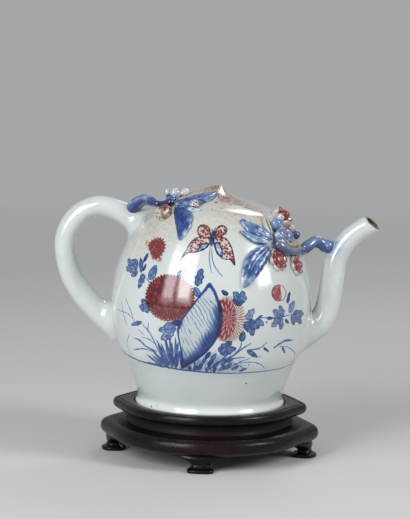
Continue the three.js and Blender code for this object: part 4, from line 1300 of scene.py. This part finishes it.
def biscuit_surface():
    surface = Surface("biscuit", 0.85, specular=0.3)
    tone = surface.noise(4, 4) * 0.3 + 0.85
    return surface.painted([tone * level for level in BISCUIT], surface.noise(0.9, 3) * 0.12)


def twig_surface(name, blue_low, blue_high, dark_end, violet=0.0):
    surface = Surface(name, 0.12, coat=1.0)
    along, upward, _, _ = surface.values("twig_form")
    patch = surface.noise(5, 3).step(0.35, 0.65)
    pale = surface.noise(2.2, 2, stretch=(1, 1, 2.5)).step(0.58, 0.75)
    # The underside is painted darker: painted shade
    underside_shade = upward.step(0.4, -0.5)
    blue = patch * (blue_high - blue_low) + blue_low - pale * 0.4 + underside_shade * (0.7 + 0.5 * dark_end)
    # dark_end above zero paints the far end darker as painted shade; below zero it pales the end
    blue = blue + along.step(0.45, 0.75) * dark_end
    channels = glazed(blue.most(0.05), along.step(0.3, 0.5) * violet, 0.06)
    return surface.painted(channels, surface.noise(3, 2) * 0.13)


def leaf_surface(name, blue, lean=0.0, fold=0.0, tip=0.0, edge=0.0, red=0.0, brown=0.0, brown_tip=0.0,
                 brown_fold=0.0):
    """Blue of a leaf, and how it changes to one side, in its fold, to its tip and at its edge."""
    surface = Surface(name, GLAZE_ROUGHNESS, coat=0.55)
    along, side, _, _ = surface.values("leaf_form")
    away = abs(side)
    middle = away.step(0.22, 0.04)
    veins = ((along * 6 - away * 1.1) * (2 * math.pi)).math("COSINE").step(0.6, 1.0) * away.step(0.05, 0.25)
    rim = away.step(0.78, 0.97)
    cloud = surface.noise(4.0, 3).step(0.32, 0.68)
    ends = along.step(0.6, 1.0)
    shades = (cloud - 0.5) * 0.55 + side * lean + middle * fold + ends * tip + rim * edge + veins * 0.18
    amount = (shades + blue) if blue else (cloud * 0.05)
    specks = surface.noise(1.2, 2).step(0.56, 0.7)
    earth = ends * specks * brown_tip + middle * brown_fold + brown
    return surface.painted(glazed(amount.most(0.03), cloud * red, earth), surface.noise(3, 2) * 0.2)


def bud_surface(name, blue=0.0, red=0.0, cream=0.0, specks=0.0, red_specks=0.0, cap=False):
    """A bud may be cream with a blush on one side, freckled, or coloured only below a pale cap."""
    surface = Surface(name, RELIEF_ROUGHNESS, coat=GLAZE_COAT)
    high, east, north, _ = surface.values("bud_form")
    patch = surface.noise(2.6, 3)
    turn = (north * cos(0.8) + east * sin(0.8)) * 0.5 + patch
    share = turn.step(0.75, 0.35) if cream else patch.step(0.3, 0.6) * 0.6 + 0.4
    if cap:
        share = share * (high.step(0.45, -0.1) * 0.9 + 0.1)
    spots = surface.noise(1.0, 1).step(0.58, 0.68) * specks
    freckles = surface.noise(1.1, 1).step(0.52, 0.6) * red_specks
    channels = glazed(share * blue + spots * 0.7, share * red + spots * 0.2 + freckles,
                      cream * 0.12 + spots * 0.2)
    return surface.painted(channels, surface.noise(2.5, 2) * 0.15)


def relief_flower_surface(name, petals, red=0.95, cream=0.08):
    """Red petals in a pale ring, with pale bosses that are painted highlights."""
    surface = Surface(name, RELIEF_ROUGHNESS, coat=GLAZE_COAT)
    share, east, north, _ = surface.values("flower_form")
    angle = north.math("ARCTAN2", east)
    turn = (angle * petals).math("COSINE")
    blot = surface.noise(2.2, 3)
    # Pale spots on the petal bosses: painted highlights
    boss_highlight = (abs(share - 0.62) * -3.2 + turn * 0.5 + (blot - 0.5) * 0.5).step(0.12, 0.38)
    notch = (turn * -0.5 + 0.5).step(0.55, 0.98) * share.step(0.45, 0.6)
    ring = (share + (blot - 0.5) * 0.12).step(0.8, 0.92)
    eye = share.step(0.24, 0.12)
    fill = (1 - ring) * (1 - boss_highlight * 0.85) * (1 - eye * 0.5)
    deep = fill * (blot.step(0.3, 0.7) * 0.35 + 0.75) * red + ring * 0.06
    return surface.painted(glazed(notch * 0.12, deep, cream), surface.noise(2.5, 2) * 0.12)


def blossom_surface(name):
    """A cream blossom with brown folds and a red heart."""
    surface = Surface(name, RELIEF_ROUGHNESS, coat=GLAZE_COAT)
    share, east, north, _ = surface.values("flower_form")
    angle = north.math("ARCTAN2", east)
    fold = ((angle * 4).math("COSINE") * -0.5 + 0.5).step(0.6, 0.98)
    blot = surface.noise(1.8, 3)
    heart = (share * 0.8 - north * 0.35 + (blot - 0.5) * 0.5).step(0.55, 0.25)
    line = (share + (blot - 0.5) * 0.2).step(0.8, 0.95) * blot.step(0.4, 0.55)
    brown = fold * 0.5 + line * 0.6 + 0.09
    channels = glazed(fold * 0.08, heart * 0.8 + blot.step(0.55, 0.7) * 0.12, brown)
    return surface.painted(channels, surface.noise(2.5, 2) * 0.15)


def wood_surface():
    """Dark stained hardwood with a fine grain, worn reddish where it is touched at the front."""
    surface = Surface("hardwood", 0.3, coat=0.04, specular=0.2)
    grain = surface.noise(2.4, 5, stretch=(0.25, 1.0, 1.6))
    pores = surface.noise(0.6, 3, stretch=(0.12, 1, 1.5)).step(0.55, 0.75)
    x, y, z = surface.places()
    front = abs(x - float(STAND_ORIGIN[0]) * 1000).step(38, 4) * y.step(-30, -52)
    worn = front * z.step(8, 13) * z.step(27, 20) * surface.noise(15, 3).step(0.25, 0.7)
    warm = grain.step(0.4, 0.75) * 0.25 + worn * 0.75
    waist = z.step(20.5, 21.5) * z.step(27.5, 26.5)
    surface.rough(grain * 0.14 + waist * 0.3 + 0.2)
    stain = [(warm * (high - low) + low) * (1 - pores * 0.5) for low, high in zip(WOOD_DARK, WOOD_RED)]
    return surface.painted(stain, grain * 0.09 - pores * 0.05)


# Counts of petals and of their lines
BIG_PETALS, BIG_STREAKS, HALF_SPOKES, HALF_PETALS, FRINGE_POINTS = 46, 58, 44, 24, 20
# Keeps the lengths of neighbouring petals apart
SCATTER = 0.618
HATCH_GAP = 2.3


def line_mask(distance, half):
    return (half - abs(distance)).step(-0.16, 0.2)


def petal_share(angle, count):
    """0 along the middle of each petal, and 1 between two."""
    return abs(((angle * (count / (2 * math.pi))).math("FRACT") - 0.5) * 2)


def near_number(field, number):
    """1 where a field holds this whole number."""
    return abs(field - number).step(0.5, 0.3)


def flower_pigments(surface):
    """Red, blue and brown of the painted flowers."""
    x, y, kind, far = surface.values("flowers")
    warp = surface.noise(2.6, 2) - 0.5
    angle = (y + warp * 0.07).math("ARCTAN2", x + warp * 0.05)
    blot = surface.noise(3.2, 3)
    fine = surface.noise(1.1, 2)

    big = near_number(kind, BIG_FLOWER)
    gap = petal_share(angle, BIG_PETALS)
    edge = far + gap * gap * 0.07 + (blot - 0.5) * 0.07
    disc = edge.step(1.0, 0.95) * big
    streak = petal_share(angle + far * 0.2, BIG_STREAKS).step(0.35, 0.95) * far.step(0.2, 0.55)
    petal_number = (angle * (BIG_PETALS / (2 * math.pi))).math("FLOOR")
    ring = (far * 4.6 + petal_number * SCATTER).math("FRACT").step(0.5, 0.95)
    tip = edge.step(0.8, 0.9) * gap.step(0.7, 0.35) * (y * -1 + (blot - 0.5) * 1.6).step(-0.1, 0.5)
    dark = blot.step(0.38, 0.66) * 0.4 + streak * 0.32 + ring * 0.22 + fine.step(0.4, 0.75) * 0.16 + 0.46
    big_red = disc * (dark * 1.45 - tip * 0.6)
    big_blue = disc * (streak * 0.1 + blot.step(0.5, 0.7) * 0.05)

    half = near_number(kind, HALF_FLOWER)
    spoke = petal_share(angle, HALF_SPOKES)
    half_edge = far + spoke * spoke * 0.1 + (blot - 0.5) * 0.08
    half_disc = half_edge.step(1.0, 0.93) * half
    heart = ((x + 0.2) * (x + 0.2) * 2.4 + y * y * 1.15 + (blot - 0.5) * 0.35).step(0.95, 0.6)
    cell = angle * (HALF_PETALS / (2 * math.pi)) + far * 0.6
    petal = (abs(cell.math("FRACT") - 0.5) * 2).step(0.62, 0.3)
    length = (far * 2.6 + cell.math("FLOOR") * SCATTER).math("FRACT")
    pale = petal * length.step(0.1, 0.3) * length.step(0.95, 0.8)
    lines = spoke.step(0.35, 0.85)
    outer = half_disc * (1 - heart)
    outer_red = outer * (far.step(0.95, 0.55) * lines * 0.4 + 0.03)
    half_red = half_disc * heart * (0.95 - pale * 0.72) + outer_red
    half_brown = outer * (lines * 0.24 + (y * -1).step(0.3, 0.9) * 0.2 + 0.04)
    half_blue = outer * lines * 0.13

    small = near_number(kind, SMALL_FLOWER)
    fringe = petal_share(angle, FRINGE_POINTS)
    fan_edge = far + fringe * 0.2
    fan = fan_edge.step(1.1, 1.02) * (y * 0.72 + x * 0.7 + 0.62 + warp * 0.3).step(0.0, 0.2) * small
    dots = surface.cells(1.5, 0.7).step(0.4, 0.15)
    rim_dots = far.step(0.72, 0.85) * fringe.step(0.45, 0.1)
    small_red = fan * (0.92 - dots * 0.6 - rim_dots * 0.35)

    bud = near_number(kind, PAINTED_BUD)
    ball = far.step(1.0, 0.93) * bud
    line = ball * far.step(0.8, 0.9)
    red_side = (x + (blot - 0.5) * 0.15).step(0.32, 0.2)
    bud_red = ball * red_side * (blot.step(0.35, 0.7) * 0.55 + 0.3) + line * 0.3
    red = big_red + half_red + small_red + bud_red
    return red, big_blue + half_blue + line * 0.08, half_brown + fan * 0.16


def rock_pigments(surface):
    """Whether a place is on the rock, the blue there, and the grey of the thin hatching."""
    depth, stroke, across, wash = surface.values("rock")
    on_rock = depth.step(-0.35, 0.1)
    wobble = surface.noise(8, 3) - 0.5
    place = across + wobble * 4.5
    hatch = abs((place * (1 / HATCH_GAP)).math("FRACT") - 0.5).step(0.16, 0.04)
    broken = surface.noise(4, 2, stretch=(0.7, 1, 0.7)).step(0.4, 0.55)
    comb = abs((place * (2 / HATCH_GAP)).math("FRACT") - 0.5) * 2
    streaky = (wash * 1.9 - comb * 0.5 - surface.noise(3, 3) * 0.35).step(0.0, 1.3)
    ink = surface.noise(3.0, 3).step(0.2, 0.7) * 0.35 + 0.8
    outline_ink = (stroke + (ink - 1) * 0.3).step(-0.12, 0.25) * ink
    blue = on_rock * (streaky * 1.15 + hatch * broken * 0.42 + 0.05) + outline_ink
    return on_rock, blue, on_rock * hatch * broken * 0.16 + on_rock * 0.02


def butterfly_pigments(surface):
    """Red, blue and brown of the butterfly."""
    wing, lobe, _, _ = surface.values("butterfly")
    on_wing = wing.step(-0.35, 0.05)
    rim = on_wing * wing.step(0.85, 0.35)
    dots = surface.cells(1.5, 0.8).step(0.6, 0.36)
    on_lobe = lobe.step(-0.3, 0.1)
    lobe_rim = on_lobe * lobe.step(0.9, 0.4)
    inner = surface.noise(1.6, 2).step(0.45, 0.6)
    body = on_wing * (1 - on_lobe)
    red = body * (dots * 0.95 + 0.04) * (1 - rim * 0.4) + rim * 0.3 + lobe_rim * 0.15
    blue = rim * 0.45 + lobe_rim * 0.8 + on_lobe * (inner * 0.4 + 0.05)
    return red, blue, body * 0.03


def leaf_pigment(surface):
    """Blue of the painted leaves."""
    depth, along, side, tone = surface.values("leaves")
    away = abs(side)
    cloud = surface.noise(2.2, 3).step(0.3, 0.7)
    fill = depth.step(-0.2, 0.2)
    rim = depth.step(0.75, 0.25)
    middle = away.step(0.16, 0.05) * tone.step(1.0, 0.8)
    veins = ((along * 4 - away * 1.3) * (2 * math.pi)).math("COSINE").step(0.45, 0.95) * away.step(0.06, 0.2)
    gaps = surface.noise(1.7, 2).step(0.55, 0.68) * tone.step(1.0, 0.6)
    return fill * (tone * (cloud * 0.78 + 0.56) * (1 - gaps * 0.6) + rim * 0.55 + middle * 0.3 + veins * 0.2)


def body_surface():
    surface = Surface("glaze_painted", GLAZE_ROUGHNESS, coat=GLAZE_COAT)
    near_a, half_a, near_b, half_b = surface.values("lines_a")
    near_c, half_c, near_d, half_d = surface.values("lines_b")
    ink = surface.noise(3.5, 3).step(0.25, 0.7) * 0.35 + 0.62
    strokes = line_mask(near_a, half_a).most(line_mask(near_b, half_b))
    strokes = strokes.most(line_mask(near_c, half_c)).most(line_mask(near_d, half_d)) * ink
    leaves = leaf_pigment(surface)
    flower_red, flower_blue, flower_brown = flower_pigments(surface)
    on_rock, rock_blue, rock_brown = rock_pigments(surface)
    wing_red, wing_blue, wing_brown = butterfly_pigments(surface)
    wash, above, turn, _ = surface.values("wash")
    blot_red, blot_brown_and_shade, speck, _ = surface.values("blots")
    broad = turn.step(0.35, -0.05) * 0.28 + 0.3
    near = abs(above + (surface.noise(12, 2) - 0.5) * 0.5)
    ground_line = (broad - near + (ink - 0.8) * 0.3).step(-0.2, 0.2) * (turn.step(0.6, -0.1) * 0.35 + 0.5)
    grass = surface.noise(2.0, 3, stretch=(1.6, 1, 0.45)).step(0.42, 0.6)
    behind_rock = 1 - on_rock
    front = leaves.most(strokes)
    blue = front * (1 - on_rock * 0.9) + flower_blue * behind_rock + rock_blue + wing_blue
    blue = blue.most(ground_line) + wash * above.step(-0.4, 0.6) * (grass * 0.9 + 0.25)
    halo = surface.noise(6, 2) * 0.015
    dark_speck = (speck + (surface.noise(0.9, 2) - 0.5) * 0.9).step(-0.15, 0.15)
    mottle = surface.noise(2.4, 3).step(0.3, 0.7) * 0.8 + 0.45
    dotted = surface.noise(1.3, 2).step(0.5, 0.64) * 2.4 + 0.3
    red = flower_red * behind_rock + wing_red + blot_red * mottle * dotted + dark_speck * 0.6
    brown = leaves * 0.07 + flower_brown * behind_rock + rock_brown + wing_brown
    # Brown blots: warm stains, and painted shade on the shoulders
    brown = brown + blot_brown_and_shade * mottle + dark_speck * 0.7
    # The skirt gets painted shade and the foot painted light
    ground = skirt_shade_and_foot_light(surface, glaze_ground(surface))
    surface.rough(surface.noise(26, 3) * 0.05 + 0.06)
    return surface.painted(glazed(blue + halo + dark_speck * 0.3, red, brown, ground), glaze_wave(surface))


# Stage

BACKDROP = (0.38, 0.385, 0.395)
SKY = (0.95, 0.97, 1.0)
FLOOR_TONE, FLOOR_SIZE = 0.64, 16
# The floor turns into the backdrop between these distances
FLOOR_FADE = (450, 1700)
LAMP_AIM = Vector((0, 0, 0.07))
# Keeps the lamps of one softbox out of one plane
LAMP_STEP = 0.004


def seen(tree):
    """1 for what is seen straight, mirrored or through glass, and 0 for the light that falls on things."""
    path = tree.nodes.new("ShaderNodeLightPath")
    camera, glossy, clear = (Field(tree, path.outputs[f"Is {name} Ray"])
                             for name in ("Camera", "Glossy", "Transmission"))
    return camera.most(glossy).most(clear)


def mixed(tree, share, first, second, output):
    """Shows the first shader at share 0 and the second at share 1."""
    node = tree.nodes.new("ShaderNodeMixShader")
    feed(node.inputs[0], share)
    tree.links.new(first, node.inputs[1])
    tree.links.new(second, node.inputs[2])
    tree.links.new(node.outputs[0], output.inputs["Surface"])


def floor():
    """Pale paper that fades into the backdrop far from the pot."""
    bpy.ops.mesh.primitive_plane_add(size=FLOOR_SIZE, location=(0, 0, 0))
    plane = bpy.context.object
    plane.name = "floor"
    surface = Surface("floor_paper", 0.8, specular=0.2)
    surface.colour([surface.noise(60, 2) * 0.01 + FLOOR_TONE] * 3)
    tree = surface.tree
    x, y, _ = surface.places()
    far = ((x * x + y * y) ** 0.5).step(*FLOOR_FADE)
    glow = tree.nodes.new("ShaderNodeEmission")
    glow.inputs["Color"].default_value = (*BACKDROP, 1)
    mixed(tree, seen(tree) * far, surface.shader.outputs[0], glow.outputs[0], tree.nodes["Material Output"])
    plane.data.materials.append(surface.material)


# A softbox fades towards its edges: it is made of lamps of these shares of its size and of its light
SOFT_STEPS = [(1.24, 0.26), (1.0, 0.36), (0.76, 0.38)]


def softbox(name, turn, height, distance, size, power, tint=(1, 1, 1)):
    """A broad lamp, by its angle in degrees round from the camera's direction, in metres and watts."""
    angle = math.atan2(CAMERA_PLACE[1], CAMERA_PLACE[0]) + math.radians(turn)
    for step, (share, light) in enumerate(SOFT_STEPS):
        lamp = bpy.data.objects.new(f"{name}_{step}", bpy.data.lights.new(name, "AREA"))
        lamp.data.shape = "RECTANGLE"
        lamp.data.size, lamp.data.size_y = size[0] * share, size[1] * share
        lamp.data.energy = power * light
        lamp.data.color = tint
        away = distance + LAMP_STEP * step
        place = Vector((away * cos(angle), away * sin(angle), height))
        lamp.location = place
        lamp.rotation_euler = (LAMP_AIM - place).to_track_quat("-Z", "Y").to_euler()
        bpy.context.collection.objects.link(lamp)


def world_light(level):
    """An even light all round, and a plain tone behind the floor."""
    world = bpy.data.worlds.new("studio")
    world.use_nodes = True
    tree = world.node_tree
    around = tree.nodes["Background"]
    around.inputs["Color"].default_value = (*SKY, 1)
    around.inputs["Strength"].default_value = level
    behind = tree.nodes.new("ShaderNodeBackground")
    behind.inputs["Color"].default_value = (*BACKDROP, 1)
    mixed(tree, seen(tree), around.outputs[0], behind.outputs[0], tree.nodes["World Output"])
    bpy.context.scene.world = world


# Making

bpy.context.scene.view_settings.view_transform = "Standard"
make_camera()
floor()
world_light(0.27)
softbox("softbox_left", -50, 0.6, 1.2, (0.31, 1.0), 4.6, (0.96, 0.98, 1))
softbox("softbox_middle", -31.5, 0.6, 1.2, (0.36, 0.9), 8.9)
softbox("softbox_right", 65, 0.78, 1.2, (0.42, 0.6), 9, (1, 0.985, 0.95))
softbox("softbox_back", 155, 1.13, 1.0, (0.38, 0.4), 2.5)

body = body_surface()
plain = plain_glaze_surface()
fit(body_lower(), "body_lower", body)
fit(body_upper(), "body_upper", body)
fit(filling_tube(), "filling_tube", biscuit_surface())
fit(handle(), "handle", plain)
fit(spout(), "spout", plain_glaze_surface("glaze_spout", rim=True))

# The dark twig gets painted shade on its underside and far end
dark_twig = twig_surface("cobalt_dark_relief", 0.16, 0.6, 0.9)
light_twig = twig_surface("cobalt_light_relief", 0.42, 0.62, -0.2, violet=0.16)
# Radius at the root and at the tip, and the shares of the length between which it changes
TWIG, BRANCH = (4.3, 1.9, (0.2, 0.75)), (3.7, 2.4, (0.3, 0.62))
TWIG_START = 0.085
# Free arches: share of the way to the body, rise, and swing to the back
TWIG_ARCH = [(0.17, 4.3, -0.6), (0.3, 6, 0), (0.5, 6.4, 0), (0.7, 3.9, -1), (0.88, 1.4, -2.4)]
BRANCH_ARCH = [(0.31, 1.1, 2.5), (0.44, 3, 2), (0.63, 4.2, 2), (0.8, 2.9, 0.4), (0.93, 1.2, -0.6)]
BRANCH_SPOTS = [(-8, 0.41), (-17.5, 0.408), (-25.9, 0.403), (-32.9, 0.393), (-37.4, 0.378), (-39.7, 0.355)]
fit(twig("twig_left_relief", *TWIG, [(-146.5, 0.217), (-139.7, 0.205), (-132.4, 0.195)],
         handle_line.at(TWIG_START), TWIG_ARCH, [(0.6, 0.5, 3), (0.95, 0.7, 3)]), "twig_left", dark_twig)
fit(twig("branch_right_relief", *BRANCH, BRANCH_SPOTS, BRANCH_ROOT, BRANCH_ARCH, [(0.9, 1.0, 5)], bulb=0.9),
    "branch_right", light_twig)
fit(twig("twig_left_back_relief", *TWIG, [(166, 0.325), (152, 0.3), (138, 0.275)]),
    "twig_left_back", dark_twig)
fit(twig("branch_right_back_relief", *BRANCH, [(29, 0.475), (35, 0.435), (42, 0.405), (50, 0.385)]),
    "branch_right_back", light_twig)

# Leaves: the middle line from base to tip
LEFT_UPPER = [(-128.5, 0.205), (-115.6, 0.17), (-102.3, 0.123), (-82.5, 0.065)]
LEFT_HANGING = [(-123.2, 0.215), (-111.5, 0.255), (-108.4, 0.295), (-108.3, 0.347)]
RIGHT_UPPER = [(-41.7, 0.347), (-52, 0.31), (-62.2, 0.262)]
RIGHT_HANGING = [(-46.9, 0.375), (-58.4, 0.425), (-67.5, 0.512)]
LEFT_BACK_DROP, RIGHT_BACK_DROP = 0.09, 0.025
violet_leaf = leaf_surface("cobalt_violet_leaf", 0.62, lean=0.06, fold=0.3, red=0.12, edge=-0.12)
# The lean pales one side of the hanging leaf, a painted highlight, and darkens the other, painted shade
deep_leaf = leaf_surface("cobalt_deep_leaf", 0.95, lean=-0.4, fold=0.25, tip=-0.55, edge=-0.1, red=0.08)
# The lean darkens the curl's upper side as painted shade and leaves its lower side pale
curl_leaf = leaf_surface("cobalt_curl_leaf", 0.5, lean=0.7, fold=0.5)
pair_leaf = leaf_surface("cobalt_pair_leaf", 0.6, lean=0.1, fold=-0.15, red=0.08, edge=-0.25)
strip_leaf = leaf_surface("cobalt_strip_leaf", 0.12, lean=0.05, fold=0.05, edge=0.5)
hanging_leaf = leaf_surface("cobalt_hanging_leaf", 0.6, lean=0.12, fold=0.25, red=0.06, tip=-0.25,
                            edge=-0.3)
cream_leaf = leaf_surface("cream_leaf", 0.0, brown=0.15, brown_fold=1.7)
speckled_leaf = leaf_surface("speckled_leaf", 0.0, brown=0.28, brown_tip=0.6)
for node, spots, width, surface in [
    ("leaf_left_upper", LEFT_UPPER, 11.5, violet_leaf),
    ("leaf_left_hanging", LEFT_HANGING, 10.6, deep_leaf),
    ("leaf_left_thin", [(-127, 0.201), (-112, 0.216), (-98, 0.215)], 4.6, curl_leaf),
    ("leaf_right_upper", RIGHT_UPPER, 9.6, pair_leaf),
    ("leaf_right_lower", [(-46.3, 0.36), (-55.6, 0.34), (-65.3, 0.307)], 4.6, strip_leaf),
    ("leaf_right_hanging", RIGHT_HANGING, 12.5, hanging_leaf),
    ("leaf_right_cream", [(-40.7, 0.328), (-39.7, 0.29), (-36, 0.247)], 4.6, cream_leaf),
    ("leaf_right_short", [(-30, 0.368), (-18, 0.37), (-5, 0.385)], 7, speckled_leaf),
    ("leaf_left_upper_back", on_back(LEFT_UPPER, LEFT_BACK_DROP), 11.5, violet_leaf),
    ("leaf_left_hanging_back", on_back(LEFT_HANGING, LEFT_BACK_DROP), 11.5, deep_leaf),
    ("leaf_right_upper_back", on_back(RIGHT_UPPER, RIGHT_BACK_DROP), 9.6, pair_leaf),
    ("leaf_right_hanging_back", on_back(RIGHT_HANGING, RIGHT_BACK_DROP), 12.5, hanging_leaf),
]:
    fit(leaf(node + "_relief", spots, width), node, surface)

red_bud = bud_surface("bud_red", red=1.0, cream=1)
freckled_bud = bud_surface("bud_freckled", blue=0.06, red_specks=1.1)
capped_bud = bud_surface("bud_capped", blue=0.7, red=0.35, cap=True)
white_bud = bud_surface("bud_white", blue=0.16, specks=0.12)
cream_bud = bud_surface("bud_cream", red=0.12, cream=0.5)
pink_bud = bud_surface("bud_pink", red=0.2, blue=0.03)
blue_bud = bud_surface("bud_blue", blue=0.55)
navy_bud = bud_surface("bud_navy", blue=1.0, red=0.15)
for node, at, radius, tall, surface in [
    ("bud_left_white", (-151, 0.152), 3.7, 0.95, white_bud),
    ("bud_left_pink", (-150, 0.121), 4.2, 0.55, cream_bud),
    ("bud_left_small", (-106.4, 0.192), 3.1, 0.8, freckled_bud),
    ("knob_left", (-155, 0.173), 1.9, 2, capped_bud),
    ("bud_right_blue", (-32.3, 0.295), 3.8, 1, blue_bud),
    ("bud_right_white", (-35, 0.335), 2.2, 1, white_bud),
    ("knob_right", (-11, 0.349), 3.1, 1, navy_bud),
    ("knob_right_upper", (-12, 0.325), 2.8, 1, pink_bud),
    ("bud_left_back", (134, 0.33), 3.8, 1, red_bud),
    ("bud_right_back", (38, 0.365), 3.8, 1, blue_bud),
]:
    fit(bud(node + "_relief", at, radius, tall), node, surface)

cream_flower = blossom_surface("flower_cream")
red_flower = relief_flower_surface("flower_red", 6)
for node, at, radius, tall, petals, surface in [
    ("bud_left_red", (-133, 0.25), 4.9, 2.2, 4, cream_flower),
    ("flower_right_top", (-11.9, 0.272), 6.5, 2.6, 6, red_flower),
    ("flower_right_low", (-40.2, 0.422), 7.1, 1, 6, red_flower),
    ("flower_right_side", (-23.5, 0.453), 6.3, 1, 6, red_flower),
    ("flower_right_back", (43, 0.47), 6.3, 1, 6, red_flower),
]:
    fit(relief_flower(node + "_relief", at, radius, tall, petals), node, surface)

# Flat dabs of glaze between the buds
grey_dab = bud_surface("cobalt_grey_dab", blue=0.5, red=0.1)
teal_dab = bud_surface("cobalt_teal_dab", blue=1.1, red=0.05)
for name, at, radius, tall, surface in [
    ("dab_right_upper", (-30, 0.33), 4.2, 0.6, grey_dab),
    ("dab_right_middle", (-23, 0.345), 4.6, 0.6, grey_dab),
    ("dab_right_lower", (-34, 0.36), 4.6, 0.6, grey_dab),
    ("dab_left", (-141, 0.187), 3.6, 0.7, teal_dab),
]:
    dab = bud(name + "_relief", at, radius, tall)
    dab.data.materials.append(surface)
    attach(dab, "teapot")

wood = wood_surface()
stand_boards(wood)
for side, degrees, ear in [
    ("right", 0, APRON[1]), ("back", 90, 0), ("left", 180, APRON[1]), ("front", 270, 0),
]:
    stand_foot("stand_foot_" + side, math.radians(degrees), ear, wood)
